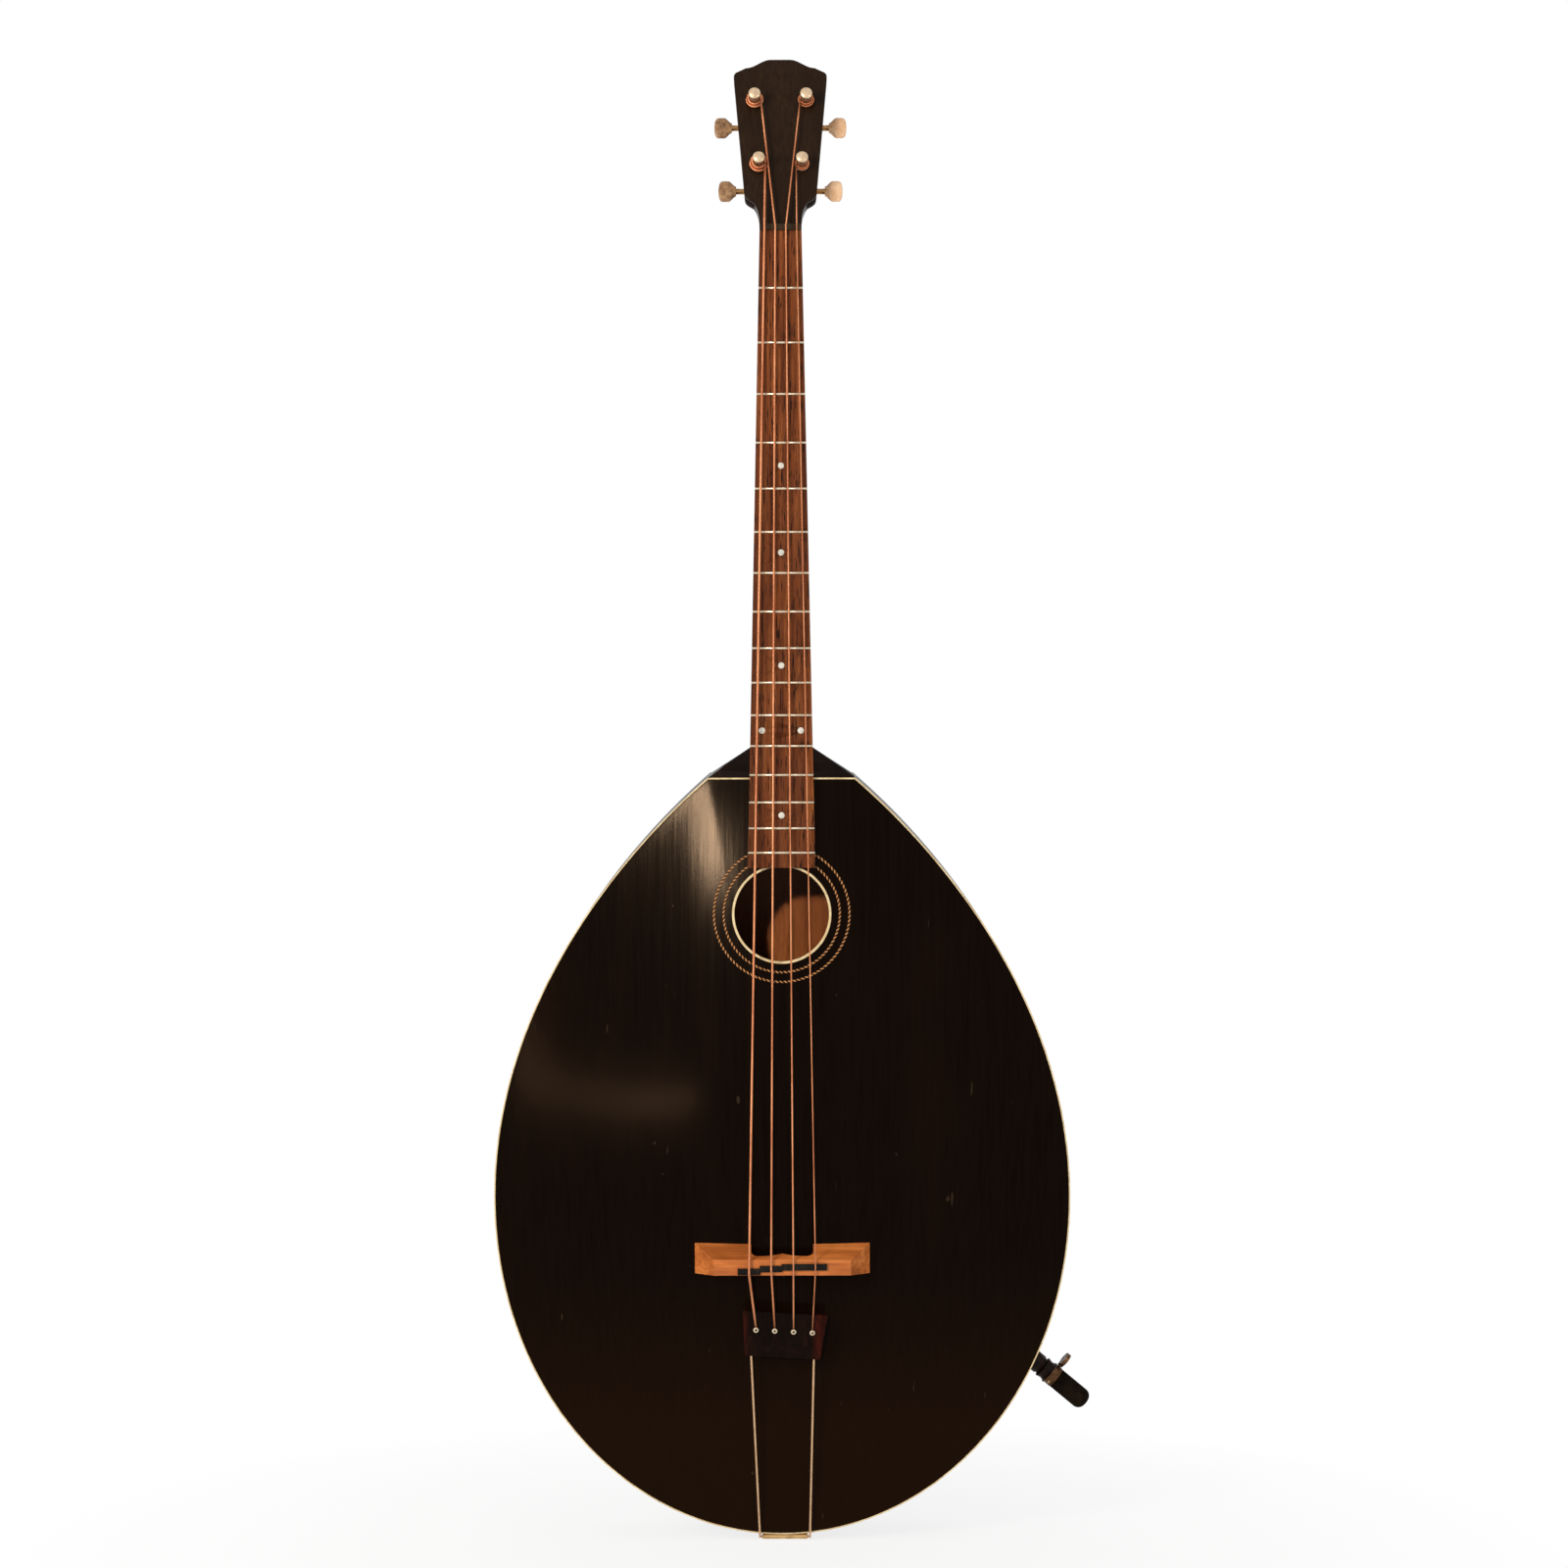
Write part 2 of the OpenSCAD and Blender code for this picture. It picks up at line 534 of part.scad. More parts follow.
// ---- Tuners, in the frame of one post: x outwards, y backwards, z up the peghead ----
pitch_r = gear_teeth * tooth_module / 2;
centre_d = pitch_r + worm_d / 2;
tooth_pitch = PI * tooth_module;
// Tooth thickness at the pitch line as a share of the pitch; the rest is running clearance
tooth_share = 0.36;
tooth_half = tooth_share * tooth_pitch / 2;
add_h = 0.85 * tooth_module;
ded_h = 1.2 * tooth_module;
flank = tan(20);
plate_y = peghead_t;
base_t = 1.5;
gear_w = 4;
gear_y = plate_y + base_t + 5.5;
worm_y = gear_y + gear_w / 2;
worm_len = 14;
ear_t = 3;
ear_in = worm_len / 2 + 1.4;
ear_out = ear_in + ear_t;
plate_half = ear_out + 2;
screw_r = 1.2;
screw_len = 9;
screw_head_r = 2.6;
plate_holes = [[-plate_half + 3.4, 5.5], [plate_half - 3.4, 5.5],
    [-plate_half + 3.4, -centre_d - 9], [plate_half - 3.4, -centre_d - 9]];
module tuner_plate() {
    difference() {
        union() {
            slab(plate_y, plate_y + base_t)
                translate([-plate_half, -centre_d - 12.5]) square([2 * plate_half, centre_d + 22]);
            for (s = [-1, 1]) translate([s * (ear_in + ear_t / 2), 0, -centre_d]) {
                translate([-ear_t / 2, plate_y + base_t - eps, -5])
                    cube([ear_t, worm_y - plate_y - base_t + eps, 10]);
                translate([-ear_t / 2, worm_y, 0]) rotate([0, 90, 0]) cylinder(h = ear_t, r = 5);
            }
        }
        backwards() translate([0, 0, plate_y - eps]) cylinder(h = base_t + 2 * eps, r = journal_r + 2 * fit);
        translate([-20, worm_y, -centre_d]) rotate([0, 90, 0]) cylinder(h = 40, r = shaft_r + fit);
        for (p = plate_holes) translate([p[0], 0, p[1]]) backwards()
            translate([0, 0, plate_y - eps]) cylinder(h = base_t + 2 * eps, r = screw_r + fit);
    }
}
module tuner_plates() color([0.6, 0.5, 0.33]) for (i = [0:3]) at_tuner(i) tuner_plate();
module plate_screws() color([0.7, 0.62, 0.45]) for (i = [0:3]) at_tuner(i)
    for (p = plate_holes) translate([p[0], 0, p[1]]) backwards() difference() {
        union() {
            translate([0, 0, peghead_t - screw_len]) cylinder(h = screw_len + base_t, r = screw_r);
            translate([0, 0, plate_y + base_t]) cylinder(h = 1.4, r = screw_head_r);
        }
        translate([-screw_head_r - eps, -0.3, plate_y + base_t + 0.8]) cube([2 * screw_head_r + 2 * eps, 0.6, 2]);
    }
module post_bushings() color([0.75, 0.68, 0.5]) for (i = [0:3]) at_tuner(i) backwards() difference() {
    union() {
        translate([0, 0, -veneer_t]) cylinder(h = veneer_t + peghead_t - 0.1, r = bushing_r);
        translate([0, 0, -veneer_t - 1.2]) cylinder(h = 1.2, r = bushing_r + 1.9);
    }
    translate([0, 0, -30]) cylinder(h = 60, r = journal_r + fit);
}
// A worm: a plain shaft with a helical thread whose ridge faces the gear at mid length
thread_turns = 3;
thread_steps = 18;
core_r = worm_d / 2 - ded_h;
crest_r = worm_d / 2 + add_h;
module worm_thread() {
    base_half = tooth_half + ded_h * flank + 0.04;
    crest_half = tooth_half - add_h * flank;
    n = thread_turns * thread_steps;
    // Ends of the thread run down into the core
    function lift(i) = core_r - 0.12 + (crest_r - core_r + 0.12) * min(1, min(i, n - i) / (thread_steps / 3) + 0.04);
    section = [[-base_half, 0], [-crest_half, 1], [crest_half, 1], [base_half, 0]];
    points = [for (i = [0:n]) for (q = section) let (a = 360 * (i / thread_steps - thread_turns / 2),
        x = a / 360 * tooth_pitch + q[0], r = q[1] == 1 ? lift(i) : core_r - 0.12) [x, -r * sin(a), r * cos(a)]];
    walls = [for (i = [0:n - 1]) for (k = [0:3]) let (m = (k + 1) % 4, a = 4 * i + k, b = 4 * i + m)
        each [[a, b, b + 4], [a, b + 4, a + 4]]];
    polyhedron(points, concat([[3, 2, 1, 0]], walls, [[4 * n, 4 * n + 1, 4 * n + 2, 4 * n + 3]]), convexity = 8);
}
module worm(i) color([0.72, 0.58, 0.3]) at_tuner(i) translate([0, worm_y, -centre_d]) union() {
    translate([-ear_out - 1.2, 0, 0]) rotate([0, 90, 0]) cylinder(h = ear_out + 1.2 + button_at + stem_in, r = shaft_r);
    translate([-worm_len / 2 - 1, 0, 0]) rotate([0, 90, 0]) cylinder(h = worm_len + 2, r = core_r);
    worm_thread();
}
// A button: a paddle that swells from its stem and has a rounded end
button_neck = 4;
// Length of the shaft inside the button
stem_in = 9;
function button_half(u) = (button_neck + (button_w / 2 - button_neck) * smooth(u / 0.5))
    * pow(1 - pow(max(0, (u - 0.66) / 0.34), 2.8), 0.5);
module button(i) color([0.8, 0.66, 0.5]) at_tuner(i) translate([0, worm_y, -centre_d]) difference() {
    slab(-button_t / 2, button_t / 2) let (n = 20,
        half = [for (k = [0:n]) [button_at + button_len * k / n, button_half(k / n)]])
        polygon(concat(half, [for (k = [n - 1:-1:0]) [half[k][0], -half[k][1]]]));
    translate([button_at - eps, 0, 0]) rotate([0, 90, 0]) cylinder(h = stem_in + eps + gap, r = shaft_r);
}
module gear(i) color([0.72, 0.58, 0.3]) at_tuner(i) difference() {
    slab(gear_y, gear_y + gear_w) union() {
        circle(pitch_r - ded_h, $fn = 64);
        for (k = [0:gear_teeth - 1]) rotate(-90 + 360 * (k + 0.5) / gear_teeth)
            polygon([[pitch_r - ded_h - 1, -tooth_half - ded_h * flank], [pitch_r + add_h, -tooth_half + add_h * flank],
                [pitch_r + add_h, tooth_half - add_h * flank], [pitch_r - ded_h - 1, tooth_half + ded_h * flank]]);
    }
    backwards() translate([0, 0, gear_y - eps]) cylinder(h = gear_w + 2 * eps, r = journal_r);
}
// A post: head, winding barrel, journal, shoulder under the gear and a riveted end
module post(i) color([0.78, 0.66, 0.45]) at_tuner(i) {
    face = -veneer_t - 1.2 - gap;
    top = -veneer_t - post_h;
    head_r = post_r + 1;
    backwards() rotate_extrude() polygon([[0, top], [head_r - 1.2, top], [head_r, top + 1], [head_r, top + 4],
        [post_r, top + 6], [post_r, face], [journal_r, face], [journal_r, plate_y + base_t + gap],
        [journal_r + 2, plate_y + base_t + gap], [journal_r + 2, gear_y], [journal_r, gear_y],
        [journal_r, gear_y + gear_w], [journal_r + 1.2, gear_y + gear_w], [journal_r + 0.6, gear_y + gear_w + 1.4],
        [0, gear_y + gear_w + 1.4]]);
}

// ---- Strings and the turns on the posts ----
wrap_turns = 3;
wrap_base = -veneer_t - 1.9;
wrap_step = 1.8;
// Height of the last turn's middle, where the string leaves it
function wrap_mid(i) = wrap_base - string_r[i] * (1 + wrap_step * (wrap_turns - 1));
function wrap_r(i) = post_r + fit + string_r[i];
// A string stops this far before its post, so that the post can turn
function wrap_clear(i) = sqrt(pow(post_r + 3 * string_r[i] + gap, 2) - pow(wrap_r(i), 2));
module wrap(i) color([0.75, 0.4, 0.27]) at_tuner(i) backwards() rotate_extrude() difference() {
    union() {
        for (k = [0:wrap_turns - 1]) translate([wrap_r(i), wrap_base - string_r[i] * (1 + wrap_step * k)])
            circle(string_r[i], $fn = 24);
        // One more turn lies over the first
        translate([wrap_r(i) + wrap_step * string_r[i], wrap_base - 1.3 * string_r[i]]) circle(string_r[i], $fn = 24);
    }
    translate([0, -2 * post_h]) square([post_r + fit, 2 * post_h]);
}
// Extra string length that sets each saddle piece back from the saddle line
saddle_back = [6.9, 4, 2.2, 2.2];
function saddle_x(i) = (i - 1.5) * bridge_spacing;
function under_at(i) = under_saddle - saddle_back[i] / scale_len * (under_nut - under_saddle);
function saddle_point(i) = [saddle_x(i), under_at(i) - string_r[i] - fit, -scale_len - saddle_back[i]];
function string_route(i) = let (t = tuners[i],
    leave = from_peghead([t[0] * (t[1] - wrap_r(i)), wrap_mid(i), t[2] - wrap_clear(i)]),
    y = under_nut - string_r[i] - fit)
    [leave, [nut_x(i), y + 0.25, nut_len + 2], [nut_x(i), y, nut_len - 0.6], [nut_x(i), y, 0],
     saddle_point(i) + [0, 0, 1.6], saddle_point(i) - [0, 0, 1.4], saddle_point(i) + [0, 0.6, -4], pin_point(i)];
module string(i) color([0.75, 0.4, 0.27]) bar(string_route(i), string_r[i] * 0.98);

// ---- Bridge and saddle pieces, in the body's frame ----
saddle_body = to_body([0, under_saddle, -scale_len]);
bridge_top_y = saddle_body[1] + saddle_h;
bridge_front = saddle_body[2] + 17.5;
foot_edge = 3;
module bridge_blank() {
    // Side view: low front edge, long front slope, flat top, steep back
    rotate([90, 0, 90]) translate([0, 0, -bridge_len / 2]) linear_extrude(bridge_len)
        polygon([[0, bridge_front], [-arch_rise - foot_edge + 6, bridge_front], [bridge_top_y, bridge_front - bridge_w + bridge_top_w + 3],
            [bridge_top_y, bridge_front - bridge_w + 3], [-arch_rise - foot_edge + 6, bridge_front - bridge_w], [0, bridge_front - bridge_w]]);
}
module bridge_front_view() {
    half = bridge_len / 2;
    top = bridge_top_len / 2;
    lift = -arch_rise - foot_edge + 6;
    polygon([[-half, 0], [-half, lift], [-top, bridge_top_y], [top, bridge_top_y], [half, lift], [half, 0]]);
}
// The opening between the feet: rounded ends and a low point at the middle
module bridge_gap_shape() {
    half = bridge_gap_w / 2;
    roof = -arch_rise - bridge_gap_h;
    cusp = roof + 4.5;
    r = 7;
    roof_line = [for (k = [0:8]) let (u = k / 8) [-half + r + (half - r) * u, roof + (cusp - roof) * pow(u, 2.2)]];
    left = concat([[-half, 5], [-half, roof + r]], [for (a = [30:30:60]) [-half + r - r * cos(a), roof + r - r * sin(a)]], roof_line);
    polygon(concat(left, [for (k = [len(left) - 2:-1:0]) [-left[k][0], left[k][1]]]));
}
saddle_w = bridge_spacing + 0.9;
saddle_t = 6.4;
saddle_deep = 4;
module saddle_place(i) {
    p = to_body(saddle_point(i));
    translate([saddle_x(i) - saddle_w / 2, 0, p[2] - saddle_t / 2]) children();
}
module bridge() color([0.8, 0.45, 0.18]) in_body() difference() {
    intersection() {
        bridge_blank();
        translate([0, 0, bridge_front - bridge_w - eps]) linear_extrude(bridge_w + 2 * eps) bridge_front_view();
    }
    translate([0, 0, bridge_front - bridge_w - eps]) linear_extrude(bridge_w + 2 * eps) bridge_gap_shape();
    for (i = [0:3]) saddle_place(i) translate([0, bridge_top_y - eps, 0]) cube([saddle_w, saddle_deep + eps, saddle_t]);
    behind_outer_face();
}
module saddles() color([0.06, 0.05, 0.045]) in_body() for (i = [0:3]) let (top = to_body(saddle_point(i))[1] + string_r[i] + 2 * fit)
    saddle_place(i) translate([0, top, 0])
        cube([saddle_w - (i < 3 ? 0.9 : 0), bridge_top_y + saddle_deep - top, saddle_t]);

// ---- Tailpiece: a plate on a wire that hangs from a hinge on the tail ----
hinge_r = 2.6;
hinge_y = 3;
hinge_z = -body_len - hinge_r - 0.2;
// Sideways place of the plate and its own small turn
tail_shift = 0;
tail_turn = 3.5;
wire_start = [0, -2.2, hinge_z + 0.4];
tail_at = norm([0, saddle_body[1] + 7, saddle_body[2]] - wire_start) - after_len - tail_len;
tail_rise = atan2(wire_start[1] - (saddle_body[1] + 7), saddle_body[2] - wire_start[2]);
module in_tail() { translate(wire_start) rotate([tail_rise, 0, 0]) children(); }
function from_tail(p) = wire_start + [p[0], p[1] * cos(tail_rise) - p[2] * sin(tail_rise),
    p[1] * sin(tail_rise) + p[2] * cos(tail_rise)];
wire_r = wire_d / 2;
plate_back = -wire_r - fit;
plate_face = plate_back - tail_t;
pin_up = 29.5;
pin_r = 1.7;
pin_head_r = 2.9;
// Turns a flat x, z point of the plate about the plate's own middle line
function tail_turned(p) = [tail_shift + p[0] * cos(tail_turn) + p[1] * sin(tail_turn),
    tail_at - p[0] * sin(tail_turn) + p[1] * cos(tail_turn)];
function pin_xz(i) = tail_turned([(i - 1.5) * pin_spacing, pin_up]);
function pin_point(i) = let (q = pin_xz(i))
    from_body(from_tail([q[0], plate_face - string_r[i] - fit, q[1] + pin_r + 0.4]));
module tail_plate() color([0.16, 0.07, 0.05]) in_body() in_tail() difference() {
    slab(plate_face, plate_back) polygon([tail_turned([-tail_low_w / 2, 0]), tail_turned([tail_low_w / 2, 0]),
        tail_turned([tail_w / 2, tail_len]), tail_turned([-tail_w / 2, tail_len])]);
    for (i = [0:3]) translate([pin_xz(i)[0], 0, pin_xz(i)[1]]) backwards()
        translate([0, 0, plate_face - eps]) cylinder(h = tail_t + 2 * eps, r = pin_r);
}
module tail_pins() color([0.9, 0.85, 0.7]) in_body() in_tail()
    for (i = [0:3]) translate([pin_xz(i)[0], 0, pin_xz(i)[1]]) backwards() rotate_extrude()
        let (under = plate_face - 2 * string_r[i] - 3 * fit)
        polygon([[0, under - 0.7], [1.1, under - 0.7], [1.1, under - 1.7], [pin_head_r - 0.6, under - 1.2], [pin_head_r, under],
            [pin_r, under], [pin_r, plate_back], [0, plate_back]]);
// Half distances between the wire's two sides at the hinge and at the plate
wire_half = hinge_w / 2 + 2.6;
wire_half_plate = 32.5;
wire_bend = 3;
function wire_side(s) = let (top = tail_turned([s * wire_half_plate, 0]), w = hinge_x + s * wire_half)
    concat([[hinge_x + s * (hinge_w / 2 - 8), hinge_y, hinge_z], [w - s * 2.2, hinge_y, hinge_z],
        [w - s * 0.6, hinge_y - 0.7, hinge_z], [w, hinge_y - 2.4, hinge_z], [w, wire_start[1] + 1.2, wire_start[2]]],
        [for (p = [[w, 2], [w + (top[0] - w) * 0.5, top[1] / 2], [top[0], top[1]], [top[0], top[1] + 30],
            [top[0] - s * 0.9, top[1] + 32.1], [top[0] - s * wire_bend, top[1] + 33]]) from_tail([p[0], 0, p[1]])]);
module tail_wire() color([0.55, 0.43, 0.25]) in_body()
    bar(concat(wire_side(1), reversed(wire_side(-1))), wire_r, 10);
module tail_hinge() color([0.75, 0.58, 0.32]) in_body() difference() {
    union() {
        translate([hinge_x - hinge_w / 2, hinge_y, hinge_z]) rotate([0, 90, 0]) cylinder(h = hinge_w, r = hinge_r);
        translate([hinge_x - hinge_w / 2, hinge_y, -body_len - 1.8]) cube([hinge_w, 32, 1.6]);
    }
    translate([hinge_x - hinge_w / 2 - eps, hinge_y, hinge_z]) rotate([0, 90, 0])
        cylinder(h = hinge_w + 2 * eps, r = wire_r + fit);
    for (x = [-14, 14]) translate([hinge_x + x, hinge_y + 22, -body_len - 6]) cylinder(h = 8, r = screw_r + fit);
}
module hinge_screws() color([0.75, 0.68, 0.5]) in_body() for (x = [-14, 14]) translate([hinge_x + x, hinge_y + 22, -body_len - 1.8]) union() {
    translate([0, 0, -1.2]) cylinder(h = 1.2, r = screw_head_r);
    cylinder(h = 1.6, r = screw_r);
}

// ---- Leg, along its own axis z from the rim outwards ----
leg_x = rim_at(leg_at);
// Half width of the body at a distance below its upper edge, found by halving
function rim_at(s, lo = 1, hi = 2, n = 24) = let (mid = (lo + hi) / 2) n == 0 ? rim_point(mid)[0] :
    -rim_point(mid)[1] < s ? rim_at(s, mid, hi, n - 1) : rim_at(s, lo, mid, n - 1);
module on_leg() { in_body() translate([leg_x, body_depth / 2, -leg_at]) rotate([0, 90 + leg_drop, 0]) children(); }
spigot_len = 24;
leg_block_w = 44;
leg_block_h = 80;
leg_block_len = 60;
leg_block_back = 10;
// Cuts along the leg's axis run this far
leg_through = 120;
module leg_block() color([0.55, 0.4, 0.25]) difference() {
    intersection() {
        in_body() slab(rib_y0 + lining_h + gap, rib_y1 - lining_h - gap) inner_shape(rib_t);
        on_leg() translate([-leg_block_w / 2, -leg_block_h / 2, -spigot_len - leg_block_back])
            cube([leg_block_w, leg_block_h, leg_block_len]);
    }
    on_leg() translate([0, 0, -spigot_len]) cylinder(h = leg_through, r = spigot_r);
    on_leg() translate([0, 0, -leg_through]) cylinder(h = leg_through, r = rod_r + 0.4);
}
module leg_socket() color([0.13, 0.06, 0.045]) difference() {
    union() {
        difference() {
            on_leg() translate([0, 0, -8]) rotate_extrude() let (l = socket_len + 8)
                polygon([[0, 0], [10.4, 0], [10.4, l - 13], [9, l - 11.6], [9, l - 10.6], [11.4, l - 9], [10.6, l - 6],
                    [10.2, l - 4], [10.8, l - 1.6], [11.6, l], [0, l]]);
            in_body() slab(-1, body_depth + 1) inner_shape(0);
        }
        on_leg() translate([0, 0, -spigot_len]) cylinder(h = spigot_len + 12, r = spigot_r - fit);
    }
    on_leg() translate([0, 0, -leg_through / 2]) cylinder(h = leg_through, r = rod_r + 0.09);
}
collar_at = socket_len;
screw_at = collar_at + collar_len / 2;
thumb_r = 2;
collar_screw_turn = -51;
collar_screw_r = 1.5;
module leg_collar() color([0.6, 0.45, 0.27]) on_leg() difference() {
    translate([0, 0, collar_at]) rotate_extrude() polygon([[0, 0], [collar_r + 0.8, 0], [collar_r + 0.8, 1.2],
        [collar_r, 1.8], [collar_r, collar_len - 1.4], [collar_r + 0.4, collar_len - 0.7], [collar_r, collar_len], [0, collar_len]]);
    translate([0, 0, -1]) cylinder(h = 80, r = rod_r + 0.09);
    translate([0, 0, screw_at]) rotate([0, -90, 0]) cylinder(h = 20, r = thumb_r + fit);
    rotate([0, 0, collar_screw_turn]) translate([rod_r + 1.5, 0, screw_at]) rotate([0, 90, 0]) cylinder(h = 20, r = collar_screw_r);
}
module collar_screw() color([0.85, 0.65, 0.45]) on_leg() rotate([0, 0, collar_screw_turn])
    translate([rod_r + 1.5, 0, screw_at]) rotate([0, 90, 0]) difference() {
        cylinder(h = collar_r - rod_r - 1, r = collar_screw_r);
        translate([-3, -0.3, collar_r - rod_r - 1.6]) cube([6, 0.6, 2]);
    }
// Thumbscrew: a shank through the collar and a flat oval wing that lies across the leg
module thumbscrew() color([0.3, 0.2, 0.12]) on_leg() translate([0, 0, screw_at]) rotate([0, -90, 0]) {
    translate([0, 0, rod_r + 0.12]) cylinder(h = collar_r + 3 - rod_r, r = thumb_r);
    translate([0, 0, collar_r + 0.9]) cylinder(h = 3, r = thumb_r + 0.9);
    translate([-2, 0, collar_r + 0.6 + wing_len / 2 + 1]) rotate([0, 90, 0]) linear_extrude(4)
        polygon([for (k = [0:27]) let (a = 360 * k / 28) [wing_len / 2 * cos(a), 8.5 * sin(a)]]);
}
rod_out = 26;
module leg_rod() color([0.7, 0.68, 0.64]) on_leg()
    translate([0, 0, -rod_inside_len]) cylinder(h = rod_inside_len + collar_at + collar_len + gap + rod_out, r = rod_r);
tip_round = 8;
module rubber_tip() color([0.07, 0.06, 0.055]) on_leg() translate([0, 0, collar_at + collar_len + gap]) difference() {
    rotate_extrude() polygon(concat([[0, 0], [tip_r - 0.4, 0], [tip_r, 0.4]],
        [for (k = [0:8]) let (a = 90 * k / 8)
        [tip_r - tip_round * (1 - cos(a)), tip_len - 0.6 - tip_round * (1 - sin(a))]], [[0, tip_len]]));
    translate([0, 0, -eps]) cylinder(h = rod_out + eps, r = rod_r);
}

soundboard();
back_plate();
ribs();
linings();
neck_block();
tail_block();
top_brace();
binding();
neck_joint_strip();
soundhole_ring();
rosette_ropes();
neck();
peghead_veneer();
heel_cap();
fingerboard();
frets();
position_dots();
nut();
tuner_plates();
plate_screws();
post_bushings();
worm(0);  // worm_e
worm(1);  // worm_a
worm(2);  // worm_d
worm(3);  // worm_g
button(0);  // button_e
button(1);  // button_a
button(2);  // button_d
button(3);  // button_g
gear(0);  // gear_e
gear(1);  // gear_a
gear(2);  // gear_d
gear(3);  // gear_g
post(0);  // post_e
post(1);  // post_a
post(2);  // post_d
post(3);  // post_g
string(0);  // string_e
string(1);  // string_a
string(2);  // string_d
string(3);  // string_g
wrap(0);  // wrap_e
wrap(1);  // wrap_a
wrap(2);  // wrap_d
wrap(3);  // wrap_g
bridge();
saddles();
tail_plate();
tail_pins();
tail_wire();
tail_hinge();
hinge_screws();
leg_block();
leg_socket();
leg_collar();
collar_screw();
thumbscrew();
leg_rod();
rubber_tip();
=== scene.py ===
# %% [markdown]
# # A four-string mando-bass
# This lesson dresses a mando-bass: a bass-sized mandolin with a teardrop body, a black arched top,
# a flat fretted neck and one floor leg. The solids come from the CAD frame. Here every surface gets
# its finish, and the curved pieces are made again as smooth surfaces.

# %% Load the frame and set plain colours
import bpy
import bmesh
import math
import numpy as np
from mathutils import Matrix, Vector


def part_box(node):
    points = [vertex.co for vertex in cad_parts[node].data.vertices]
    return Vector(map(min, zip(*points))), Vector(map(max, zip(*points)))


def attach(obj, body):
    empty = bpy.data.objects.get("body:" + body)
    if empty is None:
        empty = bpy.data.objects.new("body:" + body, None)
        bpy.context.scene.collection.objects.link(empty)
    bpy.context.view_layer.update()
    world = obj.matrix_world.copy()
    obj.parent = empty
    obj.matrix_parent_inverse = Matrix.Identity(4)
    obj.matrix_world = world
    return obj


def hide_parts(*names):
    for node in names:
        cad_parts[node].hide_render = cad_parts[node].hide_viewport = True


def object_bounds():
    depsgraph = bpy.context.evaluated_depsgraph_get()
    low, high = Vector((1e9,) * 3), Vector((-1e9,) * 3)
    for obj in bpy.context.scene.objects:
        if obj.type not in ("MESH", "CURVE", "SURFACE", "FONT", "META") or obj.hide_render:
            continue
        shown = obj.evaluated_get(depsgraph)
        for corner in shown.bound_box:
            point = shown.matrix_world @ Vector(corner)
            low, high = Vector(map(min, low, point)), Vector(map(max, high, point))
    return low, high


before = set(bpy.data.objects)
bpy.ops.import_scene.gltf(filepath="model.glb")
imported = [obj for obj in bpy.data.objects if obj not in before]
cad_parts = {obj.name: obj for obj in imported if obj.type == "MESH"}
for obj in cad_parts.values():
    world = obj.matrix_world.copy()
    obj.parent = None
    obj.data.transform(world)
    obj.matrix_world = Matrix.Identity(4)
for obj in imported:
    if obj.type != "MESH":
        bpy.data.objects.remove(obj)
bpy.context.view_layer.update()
bpy.context.scene.view_settings.view_transform = "Standard"
print("CAD nodes:", len(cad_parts))

# %% [markdown]
# ## The camera
# The instrument hangs upright and is seen from the front, from about three and a half metres and from
# one degree below its middle. A long lens keeps the body from swelling. The camera rolls a tenth of
# a degree because the instrument hangs that much out of plumb.

# %% Camera
camera_data = bpy.data.cameras.new("front_camera")
camera_data.lens = 77.96
camera_data.sensor_width = 36
camera = bpy.data.objects.new("front_camera", camera_data)
DISTANCE = 3.506
BELOW = math.radians(1.0)
camera.location = (0.0025, -DISTANCE * math.cos(BELOW), -0.5725 - DISTANCE * math.sin(BELOW))
camera.rotation_euler = (math.pi / 2 + BELOW, math.radians(0.1), 0)
bpy.context.scene.collection.objects.link(camera)
bpy.context.scene.camera = camera
print("camera stands", camera.location[:])

# %% [markdown]
# ## Measures
# A luthier draws the body on its own board, tipped back four degrees from the neck. These are the
# measures of that drawing, in metres, and the turn that brings it into the instrument's frame.

# %% Measures of the body
PITCH = math.radians(4)
LEAN = math.radians(15)
BODY_AT = 0.56604
BODY_LEN = 0.7915
BODY_HALF = 0.2995
WIDE_AT = 0.437
SHOULDER = 0.076
DEPTH = 0.115
PLATE = 0.006
BINDING = 0.0016
ARCH = 0.020
ARCH_CENTRE = -0.430
HOLE_R = 0.0488
RING_W = 0.0025
HOLE_DOWN = 0.141
RIB_THICK = 0.003
PEGHEAD_UP = 0.0062
SCALE_LEN = 1.0668


def from_body(p):
    """Body drawing to instrument: turn back by the pitch about the plate's upper edge, then move down."""
    p = np.asarray(p, float)
    y = p[..., 1] * math.cos(PITCH) - p[..., 2] * math.sin(PITCH)
    z = p[..., 1] * math.sin(PITCH) + p[..., 2] * math.cos(PITCH) - BODY_AT
    return np.stack([p[..., 0], y, z], axis=-1)


def from_peghead(p):
    """Peghead drawing (x, depth behind the wood's face, height) to instrument: lean back by fifteen
    degrees, then move up to the peghead's foot."""
    p = np.asarray(p, float)
    y = p[..., 1] * math.cos(LEAN) + p[..., 2] * math.sin(LEAN)
    z = -p[..., 1] * math.sin(LEAN) + p[..., 2] * math.cos(LEAN) + PEGHEAD_UP
    return np.stack([p[..., 0], y, z], axis=-1)


HOLE = from_body([0, 0, -HOLE_DOWN])
print("soundhole centre", HOLE.round(4))

